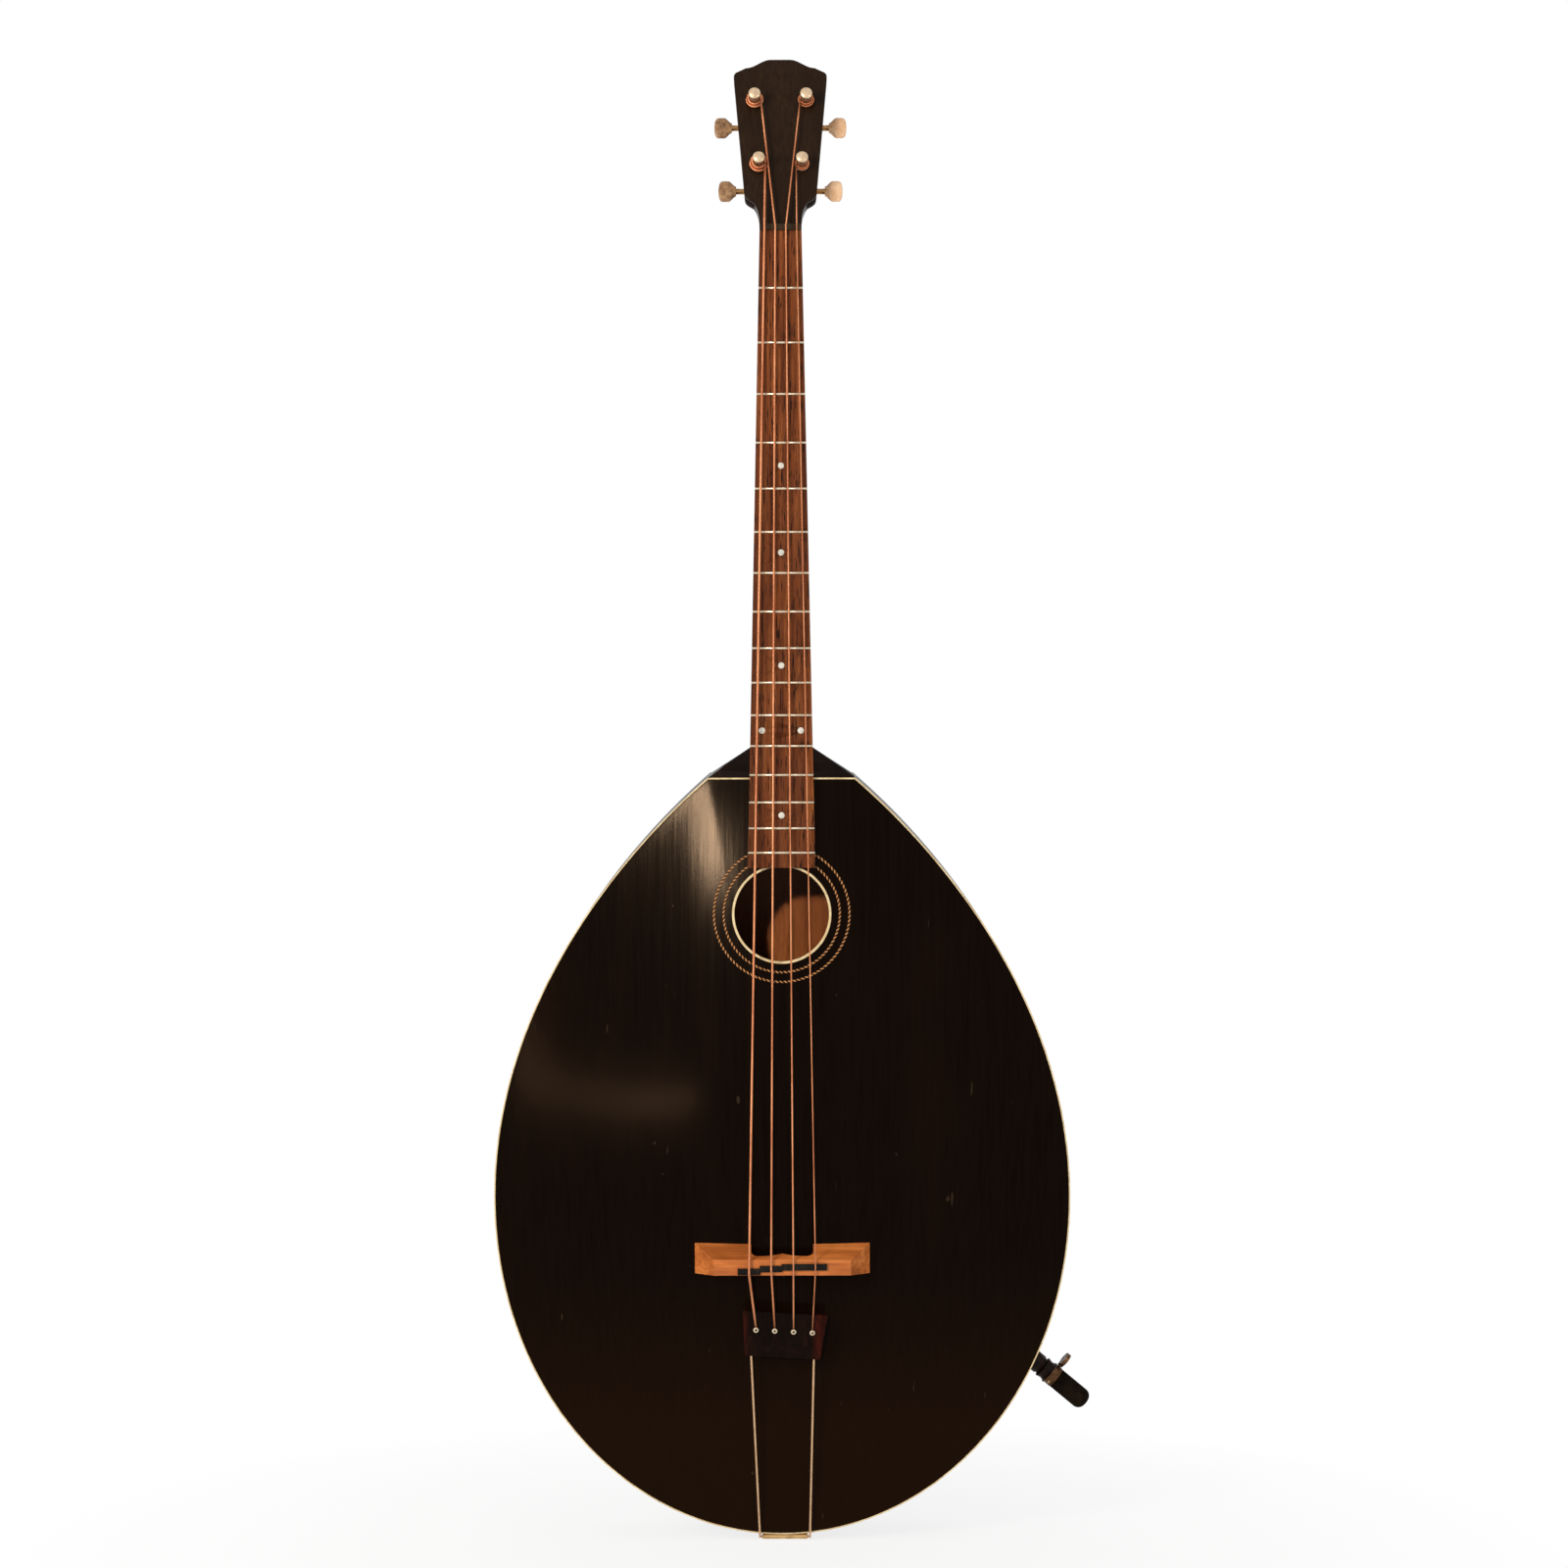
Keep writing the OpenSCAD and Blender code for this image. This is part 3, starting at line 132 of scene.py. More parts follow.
# %% [markdown]
# ## Surfaces from numbers
# Most curved pieces here are grids: a function of two parameters worked out for the whole grid at
# once, which is exact and quick. They could be modelled by hand or by modifiers, but then they would
# not follow the measures. One helper turns any grid into a mesh, closes it where it has to be
# closed, keeps a UV map when a pattern follows the surface, and turns the faces outwards.

# %% Grid to mesh
def surface(name, grid, close_u=False, close_v=False, uv=None, poles=False):
    """A mesh from an array of points (u, v, xyz). A closed direction joins its last row to its first.
    uv gives (values along u, values along v); poles fills the two end rows with a fan to their middle."""
    nu, nv = grid.shape[:2]
    u = np.arange(nu if close_u else nu - 1)
    v = np.arange(nv if close_v else nv - 1)
    a, b = np.meshgrid(u, v, indexing="ij")
    a2, b2 = (a + 1) % nu, (b + 1) % nv
    faces = np.stack([a * nv + b, a2 * nv + b, a2 * nv + b2, a * nv + b2], axis=-1).reshape(-1, 4)
    points = grid.reshape(-1, 3)
    fans = []
    if poles:
        middle = np.stack([grid[0].mean(axis=0), grid[-1].mean(axis=0)])
        points = np.concatenate([points, middle])
        k = np.arange(nv)
        last = (nu - 1) * nv
        fans = [np.stack([k, (k + 1) % nv, np.full(nv, nu * nv)], axis=-1),
                np.stack([last + (k + 1) % nv, last + k, np.full(nv, nu * nv + 1)], axis=-1)]
    mesh = bpy.data.meshes.new(name)
    mesh.from_pydata(points.tolist(), [], faces.tolist() + [f for fan in fans for f in fan.tolist()])
    if uv is not None:
        us, vs = np.asarray(uv[0], float), np.asarray(uv[1], float)
        corners = np.stack([np.stack([us[a], vs[b]], -1), np.stack([us[a + 1], vs[b]], -1),
                            np.stack([us[a + 1], vs[b + 1]], -1), np.stack([us[a], vs[b + 1]], -1)], axis=-2)
        flat = np.zeros((len(mesh.loops), 2))
        flat[:corners.size // 2] = corners.reshape(-1, 2)
        mesh.uv_layers.new(name="along").data.foreach_set("uv", flat.ravel())
    work = bmesh.new()
    work.from_mesh(mesh)
    if work.calc_volume(signed=True) < 0:
        bmesh.ops.reverse_faces(work, faces=work.faces)
    work.to_mesh(mesh)
    work.free()
    mesh.polygons.foreach_set("use_smooth", np.ones(len(mesh.polygons), bool))
    piece = bpy.data.objects.new(name, mesh)
    bpy.context.scene.collection.objects.link(piece)
    return piece


def sharpen(piece, degrees=35):
    """Edges that turn more than this stay crisp; the rest shade as one smooth surface."""
    piece.data.set_sharp_from_angle(angle=math.radians(degrees))


def triples(items, what):
    """Three numbers of each item as the rows of an array, such as "co" of points or "center" of faces."""
    flat = np.empty(len(items) * 3)
    items.foreach_get(what, flat)
    return flat.reshape(-1, 3)


print("surface helpers are ready")

# %% [markdown]
# A string or a coil is a ring carried along a path. A curve with a bevel would do it too, but has no
# map that counts lengths. The ring must not twist on the way, so each ring takes its side from one
# fixed direction, made square to the path at that point.

# %% A ring carried along a path
SIDES = 10


def carried(path, radius):
    """Rings round each point of a path: point + radius (cos a * side + sin a * across), where side is
    parallel to a fixed direction made square to the path."""
    path = np.asarray(path, float)
    along = np.gradient(path, axis=0)
    along /= np.linalg.norm(along, axis=1, keepdims=True)
    fixed = np.array([0.31, 0.9, 0.2])
    side = fixed - along * (along @ fixed)[:, None]
    side /= np.linalg.norm(side, axis=1, keepdims=True)
    across = np.cross(along, side)
    a = np.linspace(0, 2 * math.pi, SIDES, endpoint=False)[None, :, None]
    r = np.broadcast_to(np.asarray(radius, float), (len(path),))[:, None, None]
    return path[:, None] + r * (np.cos(a) * side[:, None] + np.sin(a) * across[:, None])


def lengths(path):
    """Distance from the path's start to each of its points."""
    return np.concatenate([[0], np.cumsum(np.linalg.norm(np.diff(path, axis=0), axis=1))])


print("rings along a path have", SIDES, "sides")

# %% [markdown]
# ## Finishes
# Real finishes are never one colour. Each material starts from a coordinate, makes one or two
# noises from it at the scale of the real grain or stain, and mixes colours by them. A few small
# helpers keep those recipes short.

# %% Helpers for materials
made = {}


class Finish:
    """One node material: f.add(kind, ...) adds a node, and f.shader is its Principled shader."""

    def __init__(self, name, **values):
        self.material = bpy.data.materials.new(name)
        self.material.use_nodes = True
        self.nodes = self.material.node_tree.nodes
        self.links = self.material.node_tree.links
        self.shader = self.nodes["Principled BSDF"]
        for socket, value in values.items():
            self.shader.inputs[socket.replace("_", " ")].default_value = value
        made[name] = self.material

    def add(self, kind, inputs=None, **settings):
        node = self.nodes.new(kind)
        for key, value in settings.items():
            setattr(node, key, value)
        for key, value in (inputs or {}).items():
            if isinstance(value, bpy.types.NodeSocket):
                self.links.new(value, node.inputs[key])
            else:
                node.inputs[key].default_value = value
        return node

    def place(self, scale=(1, 1, 1), move=(0, 0, 0), turn=(0, 0, 0), uv=False):
        """Object coordinates (or the piece's own map), stretched by scale after a turn and a move."""
        source = self.add("ShaderNodeTexCoord").outputs["UV" if uv else "Object"]
        return self.add("ShaderNodeMapping", {"Vector": source, "Scale": scale, "Location": move,
                                              "Rotation": turn}).outputs[0]

    def noise(self, place, scale, detail=4, rough=0.55, warp=0.0):
        return self.add("ShaderNodeTexNoise", {"Vector": place, "Scale": scale, "Detail": detail,
                                               "Roughness": rough, "Distortion": warp}).outputs["Fac"]

    def ramp(self, value, *stops):
        """Colours at positions: each stop is (position, colour)."""
        node = self.add("ShaderNodeValToRGB", {"Fac": value})
        ends = node.color_ramp.elements
        while len(ends) < len(stops):
            ends.new(0.5)
        for end, (at, colour) in zip(ends, stops):
            end.position = at
            end.color = (*colour, 1) if isinstance(colour, tuple) else (colour, colour, colour, 1)
        return node.outputs["Color"]

    def mix(self, share, one, other):
        """One colour where share is 0, the other where it is 1."""
        node = self.add("ShaderNodeMix", data_type="RGBA")
        for index, value in ((0, share), (6, one), (7, other)):
            if isinstance(value, bpy.types.NodeSocket):
                self.links.new(value, node.inputs[index])
            else:
                node.inputs[index].default_value = (*value, 1) if isinstance(value, tuple) else value
        return node.outputs[2]

    def math(self, what, one, other=0.0, third=0.0):
        node = self.add("ShaderNodeMath", operation=what)
        for index, value in enumerate((one, other, third)):
            if isinstance(value, bpy.types.NodeSocket):
                self.links.new(value, node.inputs[index])
            else:
                node.inputs[index].default_value = value
        return node.outputs[0]

    def colour(self, socket):
        self.links.new(socket, self.shader.inputs["Base Color"])

    def rough(self, value, low, high):
        """Roughness runs from low to high as the value goes from 0 to 1."""
        spread = self.add("ShaderNodeMapRange", {"Value": value, "To Min": low, "To Max": high})
        self.links.new(spread.outputs[0], self.shader.inputs["Roughness"])

    def bump(self, height, metres, strength=1.0):
        node = self.add("ShaderNodeBump", {"Height": height, "Distance": metres, "Strength": strength})
        self.links.new(node.outputs[0], self.shader.inputs["Normal"])


def wear(piece, finish):
    """The piece shows one finish all over."""
    piece.data.materials.clear()
    piece.data.materials.append(made[finish])


print("helpers for finishes are ready")

# %% [markdown]
# ## Lacquers and woods
# The top is black lacquer brushed on with the grain, rubbed and scratched by a hundred years of
# playing. One plain black would look like plastic. Its brush lines run along the strings, so the
# noise is stretched that way, and the lacquer turns brown in clouds and towards the tail. Scratches
# are the thin pale crests of a stretched noise, and dings are the crests of a rounder one.

# %% Black lacquer
def black_lacquer(name, brown):
    f = Finish(name, Specular_IOR_Level=0.02)
    grain = f.noise(f.place((1, 1, 0.03)), 260, 6, 0.65)
    broad = f.noise(f.place((1, 1, 0.12)), 22, 3, 0.6, 0.3)
    blotch = f.noise(f.place(), 5, 3, 0.5)
    deep = f.ramp(grain, (0.3, (0.0018, 0.0009, 0.0004)), (0.7, (0.0036, 0.0017, 0.0009)))
    height = f.add("ShaderNodeSeparateXYZ", {0: f.place()}).outputs["Z"]
    tail = f.add("ShaderNodeMapRange", {"Value": height, "From Min": -1.06, "From Max": -1.24,
                                        "To Max": 0.62})
    cloud = f.ramp(f.math("MULTIPLY", broad, blotch), (0.24, 0.0), (0.5, 0.36))
    stained = f.mix(f.math("MAXIMUM", cloud, tail.outputs[0]), deep, brown)
    long_noise = f.noise(f.place((1, 1, 0.14), turn=(0, 0.5, 0)), 120, 2, 0.4)
    scratch = f.ramp(long_noise, (0.765, 0.0), (0.785, 1.0))
    ding = f.ramp(f.noise(f.place((1, 1, 0.5)), 120, 2, 0.5), (0.77, 0.0), (0.79, 1.0))
    worn = f.math("MAXIMUM", scratch, ding)
    f.colour(f.mix(f.math("MULTIPLY", worn, 0.28), stained, (0.05, 0.034, 0.022)))
    half_grain = f.math("MULTIPLY", grain, 0.5)
    f.rough(f.math("ADD", half_grain, f.math("MULTIPLY", broad, 0.5)), 0.05, 0.2)
    waves = f.math("ADD", half_grain, f.math("MULTIPLY", broad, 1.2))
    f.bump(f.math("SUBTRACT", waves, worn), 0.00013, 0.5)


black_lacquer("top_lacquer", (0.0085, 0.0036, 0.0014))
print("lacquer:", sorted(made))

# %% [markdown]
# The neck, the back and the sides are hardwood stained so dark that their figure hardly shows, and
# the ebony and the bare wood inside need the same two noises: fine fibres, and the broader figure
# below them. So one recipe makes them all, with other colours and another shine.

# %% Dark stained wood of the neck, the back and the sides
def stained_wood(name, dark, light, figure_scale, shine):
    f = Finish(name, Specular_IOR_Level=shine)
    fibre = f.noise(f.place((1, 1, 0.04)), 320, 6, 0.6)
    figure = f.noise(f.place((1, 1, 0.1)), figure_scale, 4, 0.6, 0.8)
    body = f.ramp(figure, (0.35, dark), (0.68, light))
    f.colour(f.mix(f.ramp(fibre, (0.35, 1.0), (0.6, 0.0)), body, dark))
    f.rough(fibre, 0.2, 0.42)
    f.bump(fibre, 0.00012, 0.5)


stained_wood("neck_finish", (0.005, 0.0024, 0.0015), (0.018, 0.0065, 0.003), 30, 0.07)
stained_wood("body_back_finish", (0.008, 0.0035, 0.0025), (0.045, 0.013, 0.006), 14, 0.2)
stained_wood("veneer_finish", (0.014, 0.0062, 0.0026), (0.026, 0.0125, 0.0055), 38, 0.07)
stained_wood("ebony", (0.005, 0.0035, 0.0025), (0.016, 0.011, 0.007), 60, 0.1)
stained_wood("side_finish", (0.006, 0.0028, 0.0018), (0.02, 0.0065, 0.003), 14, 0.05)
stained_wood("nut_wood", (0.02, 0.011, 0.005), (0.055, 0.032, 0.016), 80, 0.08)
stained_wood("bare_inner_wood", (0.075, 0.02, 0.0048), (0.125, 0.037, 0.009), 16, 0.05)
print("woods:", sorted(made))

# %% [markdown]
# The fingerboard is rosewood: red-brown with dark pores and long darker streaks. The bridge is
# orange-stained maple, whose grain runs across the body. A picture of the wood could be laid on, but
# noise that is stretched along the grain has no seam and goes through the whole piece.

# %% Rosewood and maple
def rosewood():
    f = Finish("rosewood", Specular_IOR_Level=0.05)
    streak = f.noise(f.place((1, 1, 0.045)), 150, 5, 0.6, 0.5)
    band = f.noise(f.place((1, 1, 0.08)), 45, 3, 0.5, 0.6)
    pore = f.noise(f.place((1, 1, 0.06)), 900, 2, 0.5)
    base = f.ramp(streak, (0.3, (0.058, 0.0135, 0.0048)), (0.5, (0.17, 0.0445, 0.013)),
                  (0.7, (0.335, 0.107, 0.031)))
    tone = f.mix(f.ramp(band, (0.36, 0.75), (0.6, 0.0)), base, (0.08, 0.022, 0.009))
    f.colour(f.mix(f.ramp(pore, (0.36, 1.0), (0.42, 0.0)), tone, (0.02, 0.008, 0.005)))
    f.rough(streak, 0.34, 0.62)
    f.bump(f.math("ADD", pore, f.math("MULTIPLY", streak, 0.5)), 0.00018, 0.6)


def maple():
    f = Finish("orange_maple", Specular_IOR_Level=0.15, Coat_Weight=0.1, Coat_Roughness=0.15)
    line = f.noise(f.place((0.05, 1, 1)), 240, 5, 0.6, 0.2)
    cloud = f.noise(f.place((0.35, 1, 1)), 40, 3, 0.5, 0.5)
    base = f.ramp(cloud, (0.3, (0.3, 0.074, 0.015)), (0.52, (0.55, 0.155, 0.032)), (0.75, (0.72, 0.24, 0.06)))
    f.colour(f.mix(f.ramp(line, (0.34, 0.65), (0.56, 0.0)), base, (0.24, 0.056, 0.013)))
    f.rough(cloud, 0.22, 0.42)
    f.bump(line, 0.0001, 0.5)


rosewood()
maple()
print("woods with a colour of their own:", len(made))

# %% [markdown]
# Binding and dots are celluloid and pearl: cream that has yellowed unevenly, with specks of dirt.
# The buttons are bone-like plastic, mottled where sweat has darkened it. The two on the left take a darker
# brown copy of that finish, which is painted shade. The tailpiece plate is tortoiseshell plastic, dark with
# red edges where light comes through it. The red follows the distance from the middle line, because real
# light through plastic is slow to make.

# %% Creams, pearl and tortoiseshell
def aged_cream(name, pale, deep, spots, scale, rough=0.35):
    f = Finish(name, Specular_IOR_Level=0.3)
    cloud = f.noise(f.place(), scale, 5, 0.6, 0.4)
    speck = f.noise(f.place(), scale * 9, 3, 0.6)
    base = f.ramp(cloud, (0.36, pale), (0.66, deep))
    f.colour(f.mix(f.ramp(speck, (0.58, 0.0), (0.72, 0.8)), base, spots))
    f.rough(cloud, rough - 0.1, rough + 0.15)
    f.bump(speck, 0.00008, 0.5)


aged_cream("cream_binding", (0.78, 0.62, 0.36), (0.55, 0.38, 0.18), (0.2, 0.11, 0.05), 60)
aged_cream("cream_button", (0.8, 0.52, 0.32), (0.66, 0.37, 0.19), (0.4, 0.18, 0.085), 70, 0.28)
# A darker copy of the button finish for the two left buttons: painted shade.
aged_cream("button_in_painted_shade", (0.42, 0.235, 0.115), (0.15, 0.07, 0.03), (0.08, 0.036, 0.017), 150, 0.3)
aged_cream("pearl", (0.78, 0.73, 0.62), (0.54, 0.52, 0.46), (0.4, 0.34, 0.25), 240, 0.22)
aged_cream("pin_cream", (0.66, 0.55, 0.4), (0.45, 0.34, 0.22), (0.2, 0.12, 0.06), 260, 0.3)


def tortoiseshell():
    f = Finish("tortoiseshell", Specular_IOR_Level=0.03)
    cloud = f.noise(f.place((1, 1, 0.35)), 60, 4, 0.6, 1.2)
    fleck = f.noise(f.place((1, 1, 0.2)), 210, 3, 0.6)
    base = f.ramp(cloud, (0.35, (0.003, 0.0015, 0.001)), (0.6, (0.007, 0.0028, 0.0016)),
                  (0.76, (0.017, 0.0052, 0.0028)))
    side = f.add("ShaderNodeSeparateXYZ", {0: f.place(move=(0.0021, 0, 0))}).outputs["X"]
    edge = f.ramp(f.math("ABSOLUTE", side), (0.0335, 0.0), (0.0385, 1.0), (0.0415, 0.35))
    red = f.mix(f.math("MULTIPLY", edge, f.ramp(fleck, (0.3, 0.2), (0.6, 1.0))), base, (0.055, 0.007, 0.0035))
    f.colour(red)
    f.rough(cloud, 0.16, 0.34)
    f.bump(fleck, 0.00005, 0.4)


tortoiseshell()
print("plastics and pearl added, finishes so far:", len(made))

# %% [markdown]
# The metals are old. Brass parts keep their gold colour where hands touch them and go brown in
# the corners; nickel posts turn warm grey. Two noises, one six times finer, decide where the stain
# lies, and the stained places are rougher too. One recipe serves all of them.

# %% Old metals
def old_metal(name, bright, stain, scale, rough=0.34, stained=0.55):
    f = Finish(name, Metallic=0.9)
    cloud = f.noise(f.place(), scale, 5, 0.65, 0.6)
    speck = f.noise(f.place(), scale * 6, 3, 0.6)
    both = f.math("ADD", f.math("MULTIPLY", cloud, 0.7), f.math("MULTIPLY", speck, 0.3))
    patch = f.ramp(both, (0.4, 0.0), (0.62, 1.0))
    f.colour(f.mix(f.math("MULTIPLY", patch, stained), bright, stain))
    f.rough(patch, rough - 0.08, rough + 0.22)
    f.bump(speck, 0.00006, 0.5)


old_metal("aged_brass", (0.62, 0.4, 0.17), (0.2, 0.095, 0.04), 110)
old_metal("shaft_brass", (0.6, 0.33, 0.13), (0.2, 0.085, 0.035), 150, 0.26, 0.5)
old_metal("dark_brass", (0.13, 0.062, 0.026), (0.035, 0.015, 0.007), 110, 0.4, 0.8)
old_metal("rod_brass", (0.7, 0.45, 0.26), (0.36, 0.19, 0.1), 160, 0.36)
old_metal("post_nickel", (0.74, 0.55, 0.36), (0.3, 0.18, 0.1), 160, 0.3)
old_metal("fret_wire", (0.76, 0.64, 0.47), (0.42, 0.3, 0.19), 240, 0.26, 0.5)
old_metal("leg_steel", (0.6, 0.57, 0.52), (0.25, 0.19, 0.14), 60, 0.26, 0.4)
print("metals added, finishes so far:", len(made))

# %% [markdown]
# A wound string is a steel core under copper-coloured wire in close turns. Each turn could be made
# as a shape, but a metre of string has about a thousand, so colour and bump follow a map that counts
# the turns along the string. The leg's tip is rubber, dull and grey with dust.

# %% String wire and rubber
def string_wire():
    f = Finish("wound_bronze", Metallic=0.75)
    turns = f.add("ShaderNodeSeparateXYZ", {0: f.place(uv=True)}).outputs["X"]
    wave = f.math("SINE", f.math("MULTIPLY", turns, 2 * math.pi))
    groove = f.math("MULTIPLY_ADD", wave, 0.5, 0.5)
    age = f.noise(f.place((1, 1, 0.2)), 60, 4, 0.6)
    metal = f.ramp(age, (0.35, (0.5, 0.16, 0.065)), (0.65, (0.8, 0.33, 0.15)))
    # The darker colour in the grooves between turns is painted shade.
    f.colour(f.mix(f.ramp(groove, (0.0, 0.7), (0.4, 0.0)), metal, (0.12, 0.035, 0.015)))
    f.rough(groove, 0.42, 0.3)
    f.bump(groove, 0.00012, 0.7)


def rubber():
    f = Finish("old_rubber", Specular_IOR_Level=0.01)
    dust = f.noise(f.place(), 130, 5, 0.7)
    f.colour(f.ramp(dust, (0.35, (0.0065, 0.004, 0.0024)), (0.7, (0.014, 0.0088, 0.0052))))
    f.rough(dust, 0.55, 0.8)
    f.bump(dust, 0.00006, 0.5)


string_wire()
rubber()
print("string wire and rubber added")

# %% [markdown]
# The rope inlays are rings of slanted light and dark lozenges, glued up from strips of wood and then
# sliced. The map of a ring gives a count along it and a share across it. Their sum, cut to its
# fraction, repeats once a lozenge and leans, which a plain stripe would not do.

# %% Rope inlay
def rope_inlay():
    """Slanted cream and brown lozenges: a square wave along the ring whose phase moves across it."""
    f = Finish("rope_inlay", Specular_IOR_Level=0.08)
    split = f.add("ShaderNodeSeparateXYZ", {0: f.place(uv=True)})
    phase = f.math("ADD", split.outputs["X"], f.math("MULTIPLY", split.outputs["Y"], 0.7))
    saw = f.math("ABSOLUTE", f.math("SUBTRACT", f.math("FRACT", phase), 0.5))
    wobble = f.noise(f.place(), 420, 3, 0.6)
    lozenge = f.ramp(f.math("ADD", saw, f.math("MULTIPLY", wobble, 0.12)), (0.27, 0.0), (0.33, 1.0))
    edge = f.math("ABSOLUTE", f.math("SUBTRACT", split.outputs["Y"], 0.5))
    body = f.mix(lozenge, (0.46, 0.2, 0.07), (0.012, 0.005, 0.0025))
    f.colour(f.mix(f.ramp(edge, (0.36, 0.0), (0.42, 1.0)), body, (0.02, 0.009, 0.004)))
    f.rough(wobble, 0.25, 0.4)


rope_inlay()
print("finishes:", len(made))

# %% [markdown]
# ## The outline of the body
# Each side of the teardrop is two Bezier curves that meet at the widest line. A rim line set in by
# some width follows the same curve, moved square to it. Everything on the body's edge is made from
# that one function.

# %% Outline
UPPER = np.array([[SHOULDER, 0], [SHOULDER + 0.102, -0.088],
                  [BODY_HALF, 0.191 - WIDE_AT], [BODY_HALF, -WIDE_AT]])
LOWER = np.array([[BODY_HALF, -WIDE_AT], [BODY_HALF, -WIDE_AT - 0.206],
                  [0.160, -BODY_LEN], [0, -BODY_LEN]])


def bezier(p, t):
    """Cubic curve and its unit direction at each t."""
    t = t[:, None]
    at = (1 - t) ** 3 * p[0] + 3 * (1 - t) ** 2 * t * p[1] + 3 * (1 - t) * t ** 2 * p[2] + t ** 3 * p[3]
    way = (1 - t) ** 2 * (p[1] - p[0]) + 2 * (1 - t) * t * (p[2] - p[1]) + t ** 2 * (p[3] - p[2])
    return at, way / np.linalg.norm(way, axis=1, keepdims=True)


def rim_line(inset, cut=0.0, n=90):
    """Points of the outline from the right upper corner round the tail to the left one, set in by
    inset; the two ends slide along the edge to the height -cut."""
    t = np.linspace(0, 1, n)
    a, da = bezier(UPPER, t)
    b, db = bezier(LOWER, t[1:])
    p, d = np.concatenate([a, b]), np.concatenate([da, db])
    right = p + inset * np.stack([d[:, 1], -d[:, 0]], axis=1)
    right[0] = right[0] - d[0] / d[0, 1] * (cut + right[0, 1])
    return np.concatenate([right, (right * [-1, 1])[-2::-1]])


print("rim points:", len(rim_line(0)))

# %% [markdown]
# ## Carved plates
# Both plates are arched: full in the middle and hollow near the edge, so that they meet the binding
# flat. The height falls with the share r of the way from the arch's centre to the rim, as
# (1 - r squared) to a power that is smaller towards the neck, where the arch has to stay full.

# %% Height of the arch
rim_for_arch = rim_line(BINDING, BINDING, 200)
rim_for_arch = np.concatenate([rim_for_arch, np.linspace(rim_for_arch[-1], rim_for_arch[0], 40)[1:-1]])
rim_angle = np.arctan2(rim_for_arch[:, 0], rim_for_arch[:, 1] - ARCH_CENTRE)
rim_reach = np.hypot(rim_for_arch[:, 0], rim_for_arch[:, 1] - ARCH_CENTRE)
by_angle = np.argsort(rim_angle)
CORNER_ANGLE = math.atan2(SHOULDER, -ARCH_CENTRE)
CORNER_SPREAD = 0.13
CORNER_WIDTH = 0.16
TAIL_POWER = 1.7
NECK_FULLER = 0.6


def rim_reach_at(angle):
    """Distance from the arch's centre to the rim in a direction."""
    return np.interp(angle, rim_angle[by_angle], rim_reach[by_angle], period=2 * math.pi)


def arch(x, z):
    """Rise of the arch over the edge at a point of the body's drawing. The rim has a corner beside the
    neck; the reach there is averaged over nearby directions, so that no crease runs in from it."""
    angle = np.arctan2(x, z - ARCH_CENTRE)
    reach = rim_reach_at(angle)
    mean = sum(rim_reach_at(angle + turn) for turn in np.linspace(-CORNER_SPREAD, CORNER_SPREAD, 9)) / 9
    near = np.exp(-((np.abs(angle) - CORNER_ANGLE) / CORNER_WIDTH) ** 2)
    away = np.hypot(x, z - ARCH_CENTRE)
    r = np.clip(away / reach, 0, 1)
    r = np.clip(away / (reach + near * (mean - reach) * (1 - r ** 8)), 0, 1)
    towards_neck = (1 + (z - ARCH_CENTRE) / np.maximum(away, 1e-9)) / 2
    return ARCH * (1 - r ** 2) ** (TAIL_POWER - NECK_FULLER * towards_neck ** 6)


def rounded_shares(n):
    """Steps from 0 to 1 that are close together at both ends."""
    return (1 - np.cos(math.pi * np.linspace(0, 1, n))) / 2


def around(inset, cut):
    """The rim as a closed loop, its upper edge included."""
    line = rim_line(inset, cut)
    return np.concatenate([line, np.linspace(line[-1], line[0], 24)[1:-1]])


print("arch at its centre:", round(float(arch(0.0, ARCH_CENTRE)), 4), "m")

# %% [markdown]
# The soundboard is one closed skin: rays run from the rim in to the soundhole's edge over the front,
# then back out along the inner side. The back plate has no hole, so its rays run in to a single
# middle point. Its inside was never lacquered, so those faces take a second material.

# %% Soundboard and back plate
def soundboard():
    """Point (ray i, step j): a share between the hole's edge and the rim, at the arch's height."""
    rim = around(BINDING, BINDING)
    hole = np.array([0, -HOLE_DOWN])
    from_hole = rim - hole
    hole_edge = hole + (HOLE_R + RING_W) * from_hole / np.linalg.norm(from_hole, axis=1, keepdims=True)
    share = rounded_shares(44)[None, :, None]
    flat = hole_edge[:, None] * share + rim[:, None] * (1 - share)
    rise = arch(flat[..., 0], flat[..., 1])
    front = np.stack([flat[..., 0], -rise, flat[..., 1]], axis=-1)
    inner = front[:, ::-1] + [0, PLATE, 0]
    piece = surface("black_soundboard", from_body(np.concatenate([front, inner], axis=1)), True, True)
    sharpen(piece)
    return piece


BACK_STEPS = 49


def back_plate():
    """Rays from the rim to the middle over the outside, and the same inside, closed at the rim."""
    rim = around(0.0, 0.0)
    share = rounded_shares(BACK_STEPS + 1)[:-1][None, :, None]
    flat = np.array([0, ARCH_CENTRE]) * share + rim[:, None] * (1 - share)
    rise = arch(flat[..., 0], flat[..., 1])
    outer = np.stack([flat[..., 0], DEPTH + rise, flat[..., 1]], axis=-1)
    inner = outer - [0, PLATE, 0]
    rows = np.concatenate([inner[:, ::-1], outer], axis=1).transpose(1, 0, 2)
    piece = surface("arched_back", from_body(rows), False, True, poles=True)
    sharpen(piece)
    return piece


